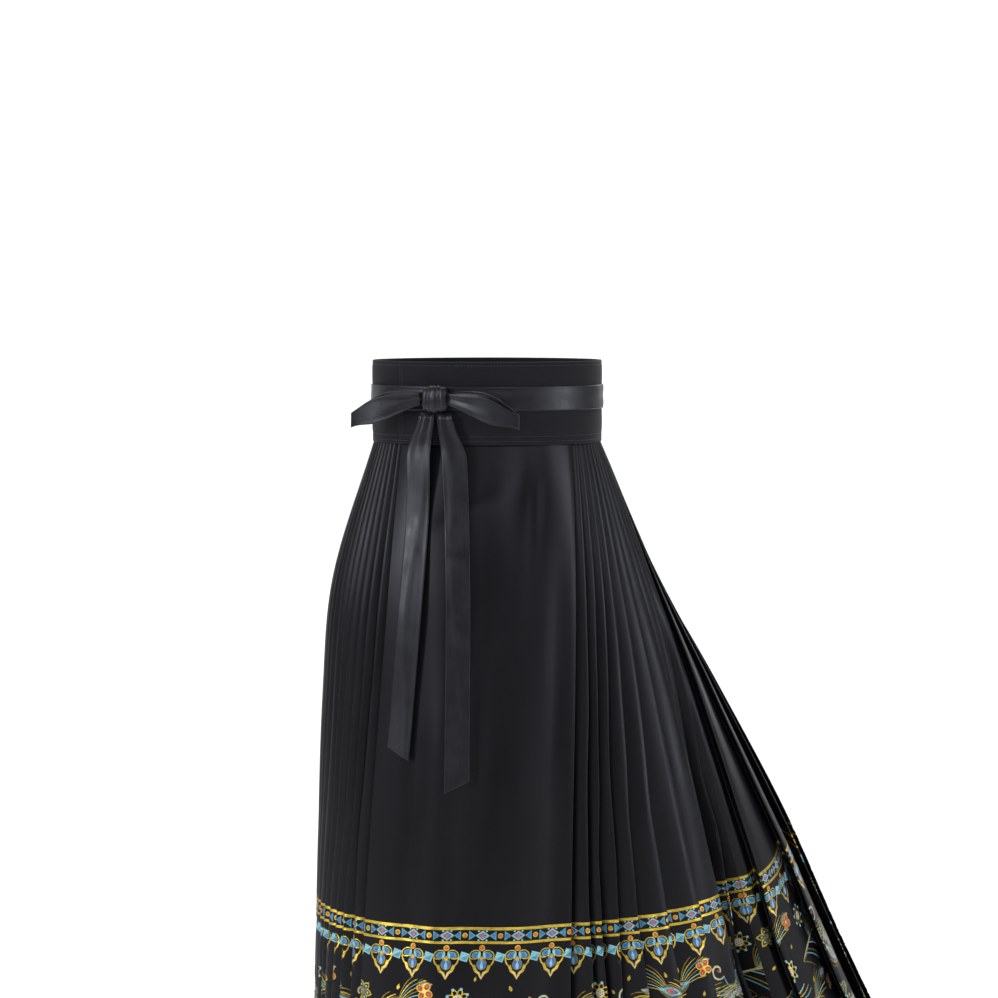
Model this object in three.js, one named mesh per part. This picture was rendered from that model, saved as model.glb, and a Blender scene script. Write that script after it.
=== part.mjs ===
import * as THREE from 'three';

// A wrapped skirt with a flat panel, the horse face, at the front and at the back and knife pleats
// at both sides, worn on a general figure and swung towards the wearer's left.
// Millimetres. X runs to the wearer's left, Y to the back, Z up. The origin is the middle of the waist.

// Waistband and ties
const BAND_HEIGHT = 90;
const BAND_WALL = 3;
const BAND_CENTRE = -0.6;
const TIE_WIDTH = 26;
const TIE_WALL = 1.5;
const TIE_RING_CENTRE_Z = 5;
const KNOT_SIZE = { across: 28, out: 14, high: 30 };
const LOOP_LENGTH = 82;
const TAIL_LENGTH = 400;
const TAIL_CLEARANCE = 3.2;
const BOW_PLACE = -52;

// Skirt cloth
const CLOTH_LENGTH = 910;
const CLOTH_WALL = 1.1;
const SEAM_GAP = 0.3;
const FACE_WIDTH_TOP = 200;
const FACE_WIDTH_HEM = 262;
const UNDER_FACE_EDGE_CLEARANCE = 4;
const PLEATS_PER_HALF = 10;
const SIDE_SEAM_FLAT = 1.4;

// The wide pleats at the left back are two pieces of cloth, joined inside this pleat's inner fold.
const LEFT_SIDE_FIRST_PLEAT = 6;

// The outermost points of the worn skirt's cross-section, by distance below the waist seam.
// Each quarter between two of them is a quarter of an ellipse.
const FIGURE = [
  { drop: 0, frontX: 0, frontY: -97, leftX: 125, leftY: 0, backX: 0, backY: 97, rightX: -125, rightY: 0 },
  { drop: 150, frontX: -5, frontY: -119, leftX: 190, leftY: 42, backX: 16, backY: 146, rightX: -171, rightY: 6 },
  { drop: 280, frontX: -12, frontY: -127, leftX: 262, leftY: 108, backX: 52, backY: 217, rightX: -183, rightY: 16 },
  { drop: 435, frontX: -21, frontY: -134, leftX: 348, leftY: 186, backX: 97, backY: 305, rightX: -189, rightY: 28 },
  { drop: 605, frontX: -29, frontY: -140, leftX: 432, leftY: 270, backX: 140, backY: 400, rightX: -194, rightY: 40 },
  { drop: 910, frontX: -38, frontY: -150, leftX: 590, leftY: 420, backX: 205, backY: 570, rightX: -204, rightY: 62 },
];

// Pleat form by distance below the waist seam: the way between two layers at a fold, the depth
// from the outer to the inner folds, how far each pleat runs under the one before as a share of
// its width, and how far in the under face lies from the over face.
const PLEAT_FORM = [
  { drop: 0, layer: 2.0, depth: 7.6, under: 0.68, lap: 2.2 },
  { drop: 150, layer: 2.4, depth: 9.5, under: 0.68, lap: 3.4 },
  { drop: 450, layer: 3.4, depth: 17, under: 0.62, lap: 5 },
  { drop: 910, layer: 4.6, depth: 27, under: 0.55, lap: 6 },
];

// Widths of the pleats from a face's edge to the middle of the side, as they lie at the hem;
// the last is the half strip at the middle of the side.
const PLEAT_WIDTHS = {
  leftFront: [25, 17, 22, 30, 42, 51, 52, 27, 19, 16, 15],
  leftBack: [46, 44, 50, 42, 48, 44, 52, 50, 62, 92, 14],
  rightFront: [26, 17, 20, 22, 18, 21, 24, 19, 22, 20, 11],
  rightBack: [40, 34, 38, 42, 36, 40, 34, 39, 36, 34, 18],
};
const EVEN_AT_WAIST_DROP = 420;

// Share of each side's cloth that lies in front of the middle of the side, at the waist and the hem.
const FRONT_SHARE = { left: { waist: 0.5, hem: 0.385 }, right: { waist: 0.5, hem: 0.33 } };

// Broad troughs in the hang of the cloth, by place along the cross-section in pleats from the face.
const TROUGHS = [
  { side: 'left', half: 'first', pleat: 8.8, spread: 36, depth: 92, starts: 120 },
  { side: 'left', half: 'second', pleat: 5.5, spread: 60, depth: 30, starts: 200 },
  { side: 'right', half: 'first', pleat: 6.5, spread: 46, depth: 24, starts: 200 },
];

// Rows of points down the cloth, as shares of its length.
const ROWS = [0, 0.06, 0.14, 0.24, 0.36, 0.49, 0.62, 0.75, 0.88, 1];

const COLOURS = { satin: 0x17171b, band: 0x121215, tie: 0x141418 };

const STEPS_PER_QUARTER = 48;
const PATH_LEVELS = 26;
const group = new THREE.Group();

function tableAt(table, drop, column) {
  const last = table.length - 1;
  const slope = (i) => {
    const a = table[Math.max(i - 1, 0)];
    const b = table[Math.min(i + 1, last)];
    return (b[column] - a[column]) / (b.drop - a.drop);
  };
  const at = Math.min(Math.max(drop, table[0].drop), table[last].drop);
  let i = 0;
  while (i < last - 1 && at > table[i + 1].drop) i += 1;
  const span = table[i + 1].drop - table[i].drop;
  const t = (at - table[i].drop) / span;
  const start = (1 + 2 * t) * (1 - t) ** 2 * table[i][column];
  const end = t * t * (3 - 2 * t) * table[i + 1][column];
  const bend = t * (1 - t) ** 2 * slope(i) - t * t * (1 - t) * slope(i + 1);
  return start + end + bend * span;
}

function ease(t) {
  const c = Math.min(Math.max(t, 0), 1);
  return c * c * (3 - 2 * c);
}

// The closed outline at one level: points from the front round by the left, back and right,
// with the length run so far at each.
function outlineAt(drop) {
  const at = (column) => tableAt(FIGURE, drop, column);
  const front = [at('frontX'), at('frontY')];
  const left = [at('leftX'), at('leftY')];
  const back = [at('backX'), at('backY')];
  const right = [at('rightX'), at('rightY')];
  const quarters = [[front, left, true], [left, back, false], [back, right, true], [right, front, false]];
  const points = [];
  const corners = [];
  for (const [a, b, acrossFirst] of quarters) {
    corners.push(points.length);
    for (let i = 0; i < STEPS_PER_QUARTER; i += 1) {
      const turn = (i / STEPS_PER_QUARTER) * Math.PI / 2;
      const p = Math.sin(turn);
      const q = 1 - Math.cos(turn);
      const x = a[0] + (b[0] - a[0]) * (acrossFirst ? p : q);
      const y = a[1] + (b[1] - a[1]) * (acrossFirst ? q : p);
      points.push([x, y]);
    }
  }
  const count = points.length;
  const run = [0];
  for (let i = 0; i < count; i += 1) {
    const a = points[i];
    const b = points[(i + 1) % count];
    run.push(run[i] + Math.hypot(b[0] - a[0], b[1] - a[1]));
  }
  const normals = points.map((_, i) => {
    const a = points[(i + count - 1) % count];
    const b = points[(i + 1) % count];
    const length = Math.hypot(b[0] - a[0], b[1] - a[1]);
    return [(b[1] - a[1]) / length, -(b[0] - a[0]) / length];
  });
  return { points, normals, run, length: run[count], back: run[corners[2]] };
}

function onOutline(outline, place) {
  const { points, normals, run, length } = outline;
  const s = ((place % length) + length) % length;
  let low = 0;
  let high = points.length;
  while (high - low > 1) {
    const middle = (low + high) >> 1;
    if (run[middle] <= s) low = middle;
    else high = middle;
  }
  const t = (s - run[low]) / (run[low + 1] - run[low]);
  const next = (low + 1) % points.length;
  const mix = (a, b) => a + (b - a) * t;
  const nx = mix(normals[low][0], normals[next][0]);
  const ny = mix(normals[low][1], normals[next][1]);
  const size = Math.hypot(nx, ny);
  return {
    x: mix(points[low][0], points[next][0]),
    y: mix(points[low][1], points[next][1]),
    nx: nx / size,
    ny: ny / size,
  };
}

// A point that lies a distance in from a spot on the outline. It keeps the way out of the skirt.
function pointInside(spot, inward, z) {
  const point = new THREE.Vector3(spot.x - spot.nx * inward, spot.y - spot.ny * inward, z);
  point.out = new THREE.Vector3(spot.nx, spot.ny, 0);
  return point;
}

function faceWidthAt(drop) {
  return FACE_WIDTH_TOP + (FACE_WIDTH_HEM - FACE_WIDTH_TOP) * Math.min(Math.max(drop / CLOTH_LENGTH, 0), 1);
}

// Where the folds of one side lie along the outline at one level. Each side's cloth runs from the
// face that lies over, round the side, to the face that lies under the other side's.
function foldPlaces(side, outline, drop) {
  const half = faceWidthAt(drop) / 2;
  const start = side === 'left' ? half : outline.back + half;
  const end = (side === 'left' ? outline.back : outline.length) - half;
  const spread = ease(drop / EVEN_AT_WAIST_DROP);
  const share = FRONT_SHARE[side].waist + (FRONT_SHARE[side].hem - FRONT_SHARE[side].waist) * spread;
  const middle = start + (end - start) * (side === 'left' ? share : 1 - share);
  const places = (from, to, widths) => {
    const even = 1 / (PLEATS_PER_HALF + 0.5);
    const total = widths.reduce((sum, width) => sum + width, 0);
    const out = [from];
    let share = 0;
    for (let i = 0; i < PLEATS_PER_HALF; i += 1) {
      share += even + (widths[i] / total - even) * spread;
      out.push(from + (to - from) * share);
    }
    return out;
  };
  const names = side === 'left' ? ['leftFront', 'leftBack'] : ['rightBack', 'rightFront'];
  return {
    start,
    end,
    middle,
    first: places(start, middle, PLEAT_WIDTHS[names[0]]),
    second: places(end, middle, PLEAT_WIDTHS[names[1]]),
  };
}

// How deep the troughs are at one place of a level.
function troughDepth(side, folds, drop, place) {
  let depth = 0;
  for (const trough of TROUGHS) {
    if (trough.side !== side) continue;
    const list = folds[trough.half];
    const index = Math.floor(trough.pleat);
    const next = index + 1 < list.length ? list[index + 1] : folds.middle;
    const centre = list[index] + (next - list[index]) * (trough.pleat - index);
    const growth = ease((drop - trough.starts) / (CLOTH_LENGTH - trough.starts) * 1.25);
    const away = (place - centre) / (trough.spread * (0.35 + 0.65 * growth));
    depth += trough.depth * growth * Math.exp(-away * away);
  }
  return depth;
}

// The troughs bend the cloth only at its outer folds, so they are worked out there.
function troughKnots(side, folds, drop) {
  const places = [...folds.first, folds.middle, ...[...folds.second].reverse()];
  return places.map((place) => ({ place, depth: troughDepth(side, folds, drop, place) }));
}

function troughAt(knots, place) {
  const last = knots.length - 1;
  if (place <= knots[0].place) return knots[0].depth;
  if (place >= knots[last].place) return knots[last].depth;
  let i = 0;
  while (place > knots[i + 1].place) i += 1;
  const t = (place - knots[i].place) / (knots[i + 1].place - knots[i].place);
  return knots[i].depth + (knots[i + 1].depth - knots[i].depth) * t;
}

// A station is a point of a cross-section, given at each level as a place along the outline and
// a distance in from it. These functions list the stations of each piece.

function sinkOf(half, index, form) {
  if (half === 'first') return 0;
  return form.lap * Math.max(1 - index / 2, 0);
}

function pleatForm(drop) {
  return {
    layer: tableAt(PLEAT_FORM, drop, 'layer'),
    depth: tableAt(PLEAT_FORM, drop, 'depth'),
    under: tableAt(PLEAT_FORM, drop, 'under'),
    lap: tableAt(PLEAT_FORM, drop, 'lap'),
  };
}

// The inner fold before pleat number index of a half, counted from the face. A pleat runs under
// the one before by a share of its own width or of that one's, whichever is less.
function innerFold(folds, half, index, form) {
  const list = folds[half];
  const next = index < list.length ? list[index] : folds.middle * 2 - list[index - 1];
  const own = next - list[index - 1];
  const before = index > 1 ? list[index - 1] - list[index - 2] : own;
  return list[index - 1] - Math.sign(own) * Math.min(Math.abs(own), Math.abs(before)) * form.under;
}

function outerFoldStations(half, index) {
  const sink = (form) => sinkOf(half, index, form);
  const over = (folds, form) => ({ place: folds[half][index], inward: sink(form) });
  const below = (folds, form) => ({ place: folds[half][index], inward: sink(form) + form.layer });
  return [over, below];
}

function innerFoldStations(half, index) {
  const deep = (form) => form.depth + sinkOf(half, index - 1, form);
  const over = (folds, form) => ({
    place: innerFold(folds, half, index, form),
    inward: deep(form) - form.layer,
  });
  const below = (folds, form) => ({ place: innerFold(folds, half, index, form), inward: deep(form) });
  return [over, below];
}

// The depth of the strip at the middle of the side, as a share of the pleats' depth.
const SIDE_SEAM_DEPTH = 0.6;

// Where a pleat's strip comes out from under the fold before it. It lies there on the straight
// line from its inner to its outer fold.
function emergingStation(half, index) {
  return (folds, form) => {
    const list = folds[half];
    const inner = innerFold(folds, half, index, form);
    const outer = index < list.length ? list[index] : folds.middle;
    const along = (list[index - 1] - inner) / (outer - inner);
    const deep = form.depth + sinkOf(half, index - 1, form);
    const shallow = index < list.length ? sinkOf(half, index, form) : form.depth * SIDE_SEAM_DEPTH;
    return { place: list[index - 1], inward: deep + (shallow - deep) * along };
  };
}

// The pleats from one number to another. The run that ends at the middle of the side has the
// half strip there too.
function pleatStations(half, from, to) {
  const stations = [];
  for (let i = from; i <= to; i += 1) {
    stations.push(innerFoldStations(half, i)[1], emergingStation(half, i));
    stations.push(...outerFoldStations(half, i), innerFoldStations(half, i + 1)[0]);
  }
  if (to < PLEATS_PER_HALF) return stations;
  stations.push(innerFoldStations(half, to + 1)[1], emergingStation(half, to + 1));
  const towards = half === 'first' ? -1 : 1;
  for (const away of [SIDE_SEAM_FLAT, SEAM_GAP / 2]) {
    stations.push((folds, form) => ({
      place: folds.middle + towards * away,
      inward: form.depth * SIDE_SEAM_DEPTH,
    }));
  }
  return stations;
}

const FACE_STEPS = 8;

function overFaceStations() {
  const stations = [];
  for (let i = 0; i < FACE_STEPS; i += 1) {
    const across = i / FACE_STEPS;
    stations.push((folds, form, width) => ({ place: folds.start - width * (1 - across), inward: 0 }));
  }
  stations.push(...outerFoldStations('first', 0));
  stations.push((folds, form) => {
    const end = innerFoldStations('first', 1)[0](folds, form);
    return { place: end.place, inward: end.inward };
  });
  return stations;
}

function underFaceStations() {
  const stations = [];
  for (let i = 0; i < FACE_STEPS; i += 1) {
    const across = i / FACE_STEPS;
    stations.push((folds, form, width, otherUnder) => {
      const free = width - otherUnder - UNDER_FACE_EDGE_CLEARANCE;
      return { place: folds.end + free * (1 - across), inward: form.lap };
    });
  }
  stations.push(...outerFoldStations('second', 0));
  stations.push(innerFoldStations('second', 1)[0]);
  return stations;
}

// Where a station runs, level by level down the cloth, and the points at the given cloth lengths.
function levelsOf(side) {
  const levels = [];
  for (let i = 0; i < PATH_LEVELS; i += 1) {
    const drop = (i / (PATH_LEVELS - 1)) * CLOTH_LENGTH;
    const outline = outlineAt(drop);
    const folds = foldPlaces(side, outline, drop);
    const other = foldPlaces(side === 'left' ? 'right' : 'left', outline, drop);
    const form = pleatForm(drop);
    const otherUnder = (other.first[1] - other.first[0]) * form.under;
    const troughs = troughKnots(side, folds, drop);
    levels.push({ drop, outline, folds, form, width: faceWidthAt(drop), otherUnder, troughs });
  }
  return levels;
}

function stationPoint(level, station) {
  const { place, inward } = station(level.folds, level.form, level.width, level.otherUnder);
  const spot = onOutline(level.outline, place);
  const back = inward + troughAt(level.troughs, place);
  return pointInside(spot, back, -BAND_HEIGHT / 2 - SEAM_GAP - level.drop);
}

function pointsDown(levels, station, lengths) {
  const path = levels.map((level) => stationPoint(level, station));
  const run = [0];
  for (let i = 1; i < path.length; i += 1) run.push(run[i - 1] + path[i].distanceTo(path[i - 1]));
  return lengths.map((length) => {
    let i = 1;
    while (i < path.length - 1 && run[i] < length) i += 1;
    const point = path[i - 1].clone().lerp(path[i], (length - run[i - 1]) / (run[i] - run[i - 1]));
    point.out = path[i].out;
    return point;
  });
}

// Whether the diagonal that goes down a grid's square from its first column lies further out
// than the one that goes up from it.
function fallsFurtherOut(topHere, topNext, footHere, footNext) {
  const falling = topHere.clone().add(footNext);
  const rising = footHere.clone().add(topNext);
  return falling.sub(rising).dot(topHere.out) >= 0;
}

// A closed wall on a grid of points, listed in rows from the top, each row counterclockwise
// seen from above. A ring's rows close on themselves. Each square is cut along the diagonal that
// lies further out, on both sides of the wall, so that layers that lie close don't cross.
function wallSolid(rows, wall, ring) {
  const height = rows.length;
  const width = rows[0].length;
  const positions = [];
  const faceSide = [];
  const bodySide = [];
  const direction = (a, b) => b.clone().sub(a).normalize();
  for (let j = 0; j < height; j += 1) {
    for (let i = 0; i < width; i += 1) {
      const here = rows[j][i];
      const down = direction(rows[Math.max(j - 1, 0)][i], rows[Math.min(j + 1, height - 1)][i]);
      const before = ring ? (i + width - 1) % width : Math.max(i - 1, 0);
      const after = ring ? (i + 1) % width : Math.min(i + 1, width - 1);
      const into = before === i ? direction(here, rows[j][after]) : direction(rows[j][before], here);
      const on = after === i ? into : direction(here, rows[j][after]);
      const first = down.clone().cross(into).normalize();
      const second = down.clone().cross(on).normalize();
      const normal = first.clone().add(second).normalize();
      const reach = wall / 2 / Math.max(normal.dot(first), 0.6);
      faceSide.push(positions.length / 3);
      positions.push(...here.clone().addScaledVector(normal, reach).toArray());
      bodySide.push(positions.length / 3);
      positions.push(...here.clone().addScaledVector(normal, -reach).toArray());
    }
  }
  const index = [];
  const quad = (a, b, c, d) => index.push(a, b, c, a, c, d);
  const spans = ring ? width : width - 1;
  for (let j = 0; j < height - 1; j += 1) {
    for (let i = 0; i < spans; i += 1) {
      const next = (i + 1) % width;
      const a = j * width + i;
      const b = j * width + next;
      const [faceA, faceFootA, faceFootB, faceB] = [a, a + width, b + width, b].map((k) => faceSide[k]);
      const [bodyA, bodyFootA, bodyFootB, bodyB] = [a, a + width, b + width, b].map((k) => bodySide[k]);
      if (fallsFurtherOut(rows[j][i], rows[j][next], rows[j + 1][i], rows[j + 1][next])) {
        quad(faceA, faceFootA, faceFootB, faceB);
        quad(bodyA, bodyB, bodyFootB, bodyFootA);
      } else {
        quad(faceB, faceA, faceFootA, faceFootB);
        quad(bodyB, bodyFootB, bodyFootA, bodyA);
      }
    }
  }
  const foot = (height - 1) * width;
  for (let i = 0; i < spans; i += 1) {
    const b = (i + 1) % width;
    quad(faceSide[i], faceSide[b], bodySide[b], bodySide[i]);
    quad(faceSide[foot + b], faceSide[foot + i], bodySide[foot + i], bodySide[foot + b]);
  }
  if (!ring) {
    for (let j = 0; j < height - 1; j += 1) {
      const a = j * width;
      const b = a + width - 1;
      quad(faceSide[a], bodySide[a], bodySide[a + width], faceSide[a + width]);
      quad(faceSide[b + width], bodySide[b + width], bodySide[b], faceSide[b]);
    }
  }
  const geometry = new THREE.BufferGeometry();
  geometry.setAttribute('position', new THREE.Float32BufferAttribute(positions, 3));
  geometry.setIndex(index);
  return geometry;
}

function addPiece(name, geometry, colour, roughness) {
  const material = new THREE.MeshStandardMaterial({ color: colour, roughness, metalness: 0 });
  const mesh = new THREE.Mesh(geometry, material);
  mesh.name = name;
  group.add(mesh);
}

// A column of points at each station, turned into rows.
function clothRows(side, stations) {
  const levels = levelsOf(side);
  const lengths = ROWS.map((share) => share * CLOTH_LENGTH);
  const columns = stations.map((station) => pointsDown(levels, station, lengths));
  return ROWS.map((_, j) => columns.map((column) => column[j]));
}

function addPanel(side, names) {
  const towardsEnd = (stations) => [...stations].reverse();
  const pieces = [[names.over, overFaceStations()]];
  for (const [name, from, to] of names.first) pieces.push([name, pleatStations('first', from, to)]);
  for (const [name, from, to] of names.second) {
    pieces.push([name, towardsEnd(pleatStations('second', from, to))]);
  }
  pieces.push([names.under, towardsEnd(underFaceStations())]);
  for (const [name, stations] of pieces) {
    addPiece(name, wallSolid(clothRows(side, stations), CLOTH_WALL, false), COLOURS.satin, 0.5);
  }
}

// The waistband starts over the front face, runs once round and ends below its own start.
function bandInward(place, length) {
  const half = FACE_WIDTH_TOP / 2;
  const lap = BAND_WALL + SEAM_GAP;
  const lift = 1 - ease((place - half - 10) / 60);
  return BAND_CENTRE * -1 - lap * (place < length / 2 ? lift : 0);
}

function addWaistband() {
  const outline = outlineAt(0);
  const half = FACE_WIDTH_TOP / 2;
  const steps = 76;
  const levels = [BAND_HEIGHT / 2, 0, -BAND_HEIGHT / 2];
  const rows = levels.map((z) => {
    const row = [];
    for (let i = 0; i <= steps; i += 1) {
      const place = -half + (i / steps) * (outline.length + 2 * half - UNDER_FACE_EDGE_CLEARANCE * 3);
      const spot = onOutline(outline, place);
      row.push(pointInside(spot, bandInward(place, outline.length), z));
    }
    return row;
  });
  addPiece('waistband', wallSolid(rows, BAND_WALL, false), COLOURS.band, 0.75);
}

// How far out of the outline the tie lies, over the waistband's lap at the front.
function tieOut(place, length) {
  const half = FACE_WIDTH_TOP / 2;
  const signed = place > length / 2 ? place - length : place;
  const lap = signed > 0 ? 1 - ease((signed - half - 12) / 60) : 1 - ease((-signed - half - 6) / 45);
  const bandFace = BAND_CENTRE + BAND_WALL / 2;
  return bandFace + (BAND_WALL + SEAM_GAP) * lap + SEAM_GAP + TIE_WALL / 2 + 0.1;
}

function addTieRing() {
  const outline = outlineAt(0);
  const steps = 84;
  const levels = [TIE_RING_CENTRE_Z + TIE_WIDTH / 2, TIE_RING_CENTRE_Z - TIE_WIDTH / 2];
  const rows = levels.map((z) => {
    const row = [];
    for (let i = 0; i < steps; i += 1) {
      const place = (i / steps) * outline.length;
      const spot = onOutline(outline, place);
      row.push(pointInside(spot, -tieOut(place, outline.length), z));
    }
    return row;
  });
  addPiece('tie_wrap', wallSolid(rows, TIE_WALL, true), COLOURS.tie, 0.6);
}

// A solid of oval sections along a line, with a flat cap at each end.
function ovalSolid(sections) {
  const sides = 12;
  const positions = [];
  for (const { centre, along, up, high, thick } of sections) {
    const out = along.clone().cross(up).normalize();
    for (let i = 0; i < sides; i += 1) {
      const turn = (i / sides) * 2 * Math.PI;
      const point = centre.clone();
      point.addScaledVector(out, Math.cos(turn) * thick / 2);
      point.addScaledVector(up, Math.sin(turn) * high / 2);
      positions.push(...point.toArray());
    }
  }
  const index = [];
  for (let k = 0; k < sections.length - 1; k += 1) {
    for (let i = 0; i < sides; i += 1) {
      const a = k * sides + i;
      const b = k * sides + ((i + 1) % sides);
      index.push(a, b + sides, b, a, a + sides, b + sides);
    }
  }
  for (let i = 1; i < sides - 1; i += 1) {
    const end = (sections.length - 1) * sides;
    index.push(0, i, i + 1, end, end + i + 1, end + i);
  }
  const geometry = new THREE.BufferGeometry();
  geometry.setAttribute('position', new THREE.Float32BufferAttribute(positions, 3));
  geometry.setIndex(index);
  return geometry;
}

function addBow() {
  const outline = outlineAt(0);
  const spot = onOutline(outline, BOW_PLACE);
  const out = new THREE.Vector3(spot.nx, spot.ny, 0);
  const along = new THREE.Vector3(-spot.ny, spot.nx, 0);
  const up = new THREE.Vector3(0, 0, 1);
  const ringFace = tieOut(0, outline.length) + TIE_WALL / 2;
  const at = (a, o, z) => new THREE.Vector3(spot.x, spot.y, TIE_RING_CENTRE_Z + z)
    .addScaledVector(along, a).addScaledVector(out, o);

  const knotOut = ringFace + SEAM_GAP * 2 + KNOT_SIZE.out / 2;
  const knot = [-1, -0.8, 0, 0.8, 1].map((share) => ({
    centre: at(share * KNOT_SIZE.across / 2, knotOut, 0),
    along,
    up,
    high: KNOT_SIZE.high * (1 - 0.25 * share * share),
    thick: KNOT_SIZE.out * (1 - 0.3 * share * share),
  }));
  addPiece('tie_knot', ovalSolid(knot), COLOURS.tie, 0.6);

  const loop = [
    { share: 0, fall: 0, out: 0, high: 14, thick: 7 },
    { share: 0.22, fall: 2, out: 2, high: 21, thick: 9 },
    { share: 0.5, fall: 8, out: 4, high: 29, thick: 11 },
    { share: 0.8, fall: 17, out: 3, high: 31, thick: 10 },
    { share: 0.95, fall: 22, out: 2, high: 25, thick: 7 },
    { share: 1, fall: 24, out: 2, high: 14, thick: 4 },
  ];
  for (const [name, sign] of [['tie_loop_right', -1], ['tie_loop_left', 1]]) {
    const sections = loop.map((row) => ({
      centre: at(sign * (KNOT_SIZE.across / 2 + SEAM_GAP + row.share * LOOP_LENGTH), knotOut + row.out, -row.fall),
      along: along.clone().multiplyScalar(sign),
      up,
      high: row.high,
      thick: row.thick,
    }));
    addPiece(name, ovalSolid(sections), COLOURS.tie, 0.6);
  }
  addTails(knotOut);
}

// The tails hang from the knot over the front face, made from the face's own outline, moved out.
function addTails(knotOut) {
  const top = TIE_RING_CENTRE_Z - KNOT_SIZE.high / 2 - SEAM_GAP;
  const seam = -BAND_HEIGHT / 2;
  const tails = [
    { name: 'tie_tail_right', centre: -9, lean: -0.035, length: TAIL_LENGTH - 34 },
    { name: 'tie_tail_left', centre: 9, lean: 0.05, length: TAIL_LENGTH },
  ];
  for (const tail of tails) {
    const rows = [0, 0.06, 0.13, 0.25, 0.45, 0.7, 1].map((share) => {
      const z = top - share * tail.length;
      const clear = TAIL_CLEARANCE + (knotOut - TAIL_CLEARANCE) * (1 - ease((top - z - 15) / 110));
      const spread = Math.sign(tail.centre) * 8 * ease(share / 0.13);
      return [-1, -0.33, 0.33, 1].map((side) => {
        const narrow = 0.62 + 0.38 * ease(share / 0.13);
        const middle = BOW_PLACE + tail.centre + spread + tail.lean * share * tail.length;
        const place = middle + side * narrow * TIE_WIDTH / 2;
        return pointInside(onOutline(outlineAt(Math.max(seam - z, 0)), place), -clear, z);
      });
    });
    addPiece(tail.name, wallSolid(rows, TIE_WALL, false), COLOURS.tie, 0.6);
  }
}

addPanel('left', {
  over: 'face_front_over',
  first: [['pleats_left_front', 1, PLEATS_PER_HALF]],
  second: [
    ['pleats_left_back', 1, LEFT_SIDE_FIRST_PLEAT - 1],
    ['pleats_left_side', LEFT_SIDE_FIRST_PLEAT, PLEATS_PER_HALF],
  ],
  under: 'face_back_under',
});
addPanel('right', {
  over: 'face_back_over',
  first: [['pleats_right_back', 1, PLEATS_PER_HALF]],
  second: [['pleats_right_front', 1, PLEATS_PER_HALF]],
  under: 'face_front_under',
});
addWaistband();
addTieRing();
addBow();

export default group;
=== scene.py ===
# %% [markdown]
# # A horse-face skirt in black satin brocade
#
# The real skirt is two wide panels of satin sewn to one stiff waistband. Each panel has a flat
# end, the horse face, then a run of knife pleats, then a second flat end. Wrapped on, the flat
# ends lap over each other at the front and at the back, and the pleats fall at the sides.
# A border is woven into the cloth near the hem: two gold lines with jewels between them, a row
# of pendants, and a field of feathers and flowers.
#
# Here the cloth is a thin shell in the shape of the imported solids. Its flat cutting pattern is
# kept as a second coordinate system, so that the woven figures can be drawn on flat cloth, as
# a weaver sees them, and then folded with it.

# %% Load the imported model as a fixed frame
import math
import random

import bpy
import numpy as np
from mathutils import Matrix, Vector
from mathutils.geometry import delaunay_2d_cdt


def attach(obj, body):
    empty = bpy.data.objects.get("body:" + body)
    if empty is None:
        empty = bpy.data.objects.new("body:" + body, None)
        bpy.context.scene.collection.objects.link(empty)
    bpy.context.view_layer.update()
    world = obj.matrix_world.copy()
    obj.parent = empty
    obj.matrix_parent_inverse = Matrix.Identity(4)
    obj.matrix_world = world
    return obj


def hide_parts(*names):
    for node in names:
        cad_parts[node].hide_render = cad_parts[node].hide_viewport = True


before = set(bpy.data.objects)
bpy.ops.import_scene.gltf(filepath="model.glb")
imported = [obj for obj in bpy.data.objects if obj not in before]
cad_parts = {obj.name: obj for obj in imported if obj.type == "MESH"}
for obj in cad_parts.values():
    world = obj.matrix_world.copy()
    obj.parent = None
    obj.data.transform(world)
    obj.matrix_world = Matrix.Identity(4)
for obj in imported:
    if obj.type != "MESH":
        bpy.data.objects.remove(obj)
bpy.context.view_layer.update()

MM = 0.001

# %% [markdown]
# ## The camera
#
# The picture is a square of 998 pixels, and one pixel covers 1.1 mm at the waist. The camera
# stands four metres away, a little above the waist, and looks slightly down. At that distance
# a long lens of about 130 mm gives the framing, with no shift: the hem is below the picture.

# %% Place the camera
PHOTO_SIDE = 998
MM_PER_PIXEL = 1.1
CAMERA_DISTANCE = 4000
CAMERA_HEIGHT = 150
CENTRE_ACROSS = 13
CENTRE_HEIGHT = -109
SENSOR_WIDTH = 36

camera_data = bpy.data.cameras.new("camera")
camera_data.sensor_width = SENSOR_WIDTH
camera_data.lens = SENSOR_WIDTH * CAMERA_DISTANCE / (MM_PER_PIXEL * PHOTO_SIDE)
camera = bpy.data.objects.new("camera", camera_data)
camera.location = (CENTRE_ACROSS * MM, -CAMERA_DISTANCE * MM, CAMERA_HEIGHT * MM)
look_down = math.atan2(CAMERA_HEIGHT - CENTRE_HEIGHT, CAMERA_DISTANCE)
camera.rotation_euler = (math.pi / 2 - look_down, 0, 0)
bpy.context.scene.collection.objects.link(camera)
bpy.context.scene.camera = camera
print("lens:", round(camera_data.lens, 1), "mm, looking down",
      round(math.degrees(look_down), 2), "degrees")

# %% [markdown]
# ## The hang of the cloth
#
# The worn skirt is described level by level. At each level the cloth's outer folds lie on a
# closed outline made of four quarter ellipses. The pleats are a zigzag inside that outline: an
# outer fold on it, then a layer that runs back under, then an inner fold, then the next pleat.
# These tables repeat the sizes that the solids were made from.

# %% The sizes of the skirt, in millimetres
BAND_HEIGHT = 90
CLOTH_LENGTH = 910
SEAM_GAP = 0.3
FACE_WIDTH_TOP = 200
FACE_WIDTH_HEM = 262
UNDER_FACE_EDGE_CLEARANCE = 4
PLEATS_PER_HALF = 10
SIDE_SEAM_FLAT = 1.4
EVEN_AT_WAIST_DROP = 420
CLOTH_THICKNESS = 0.9

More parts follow.
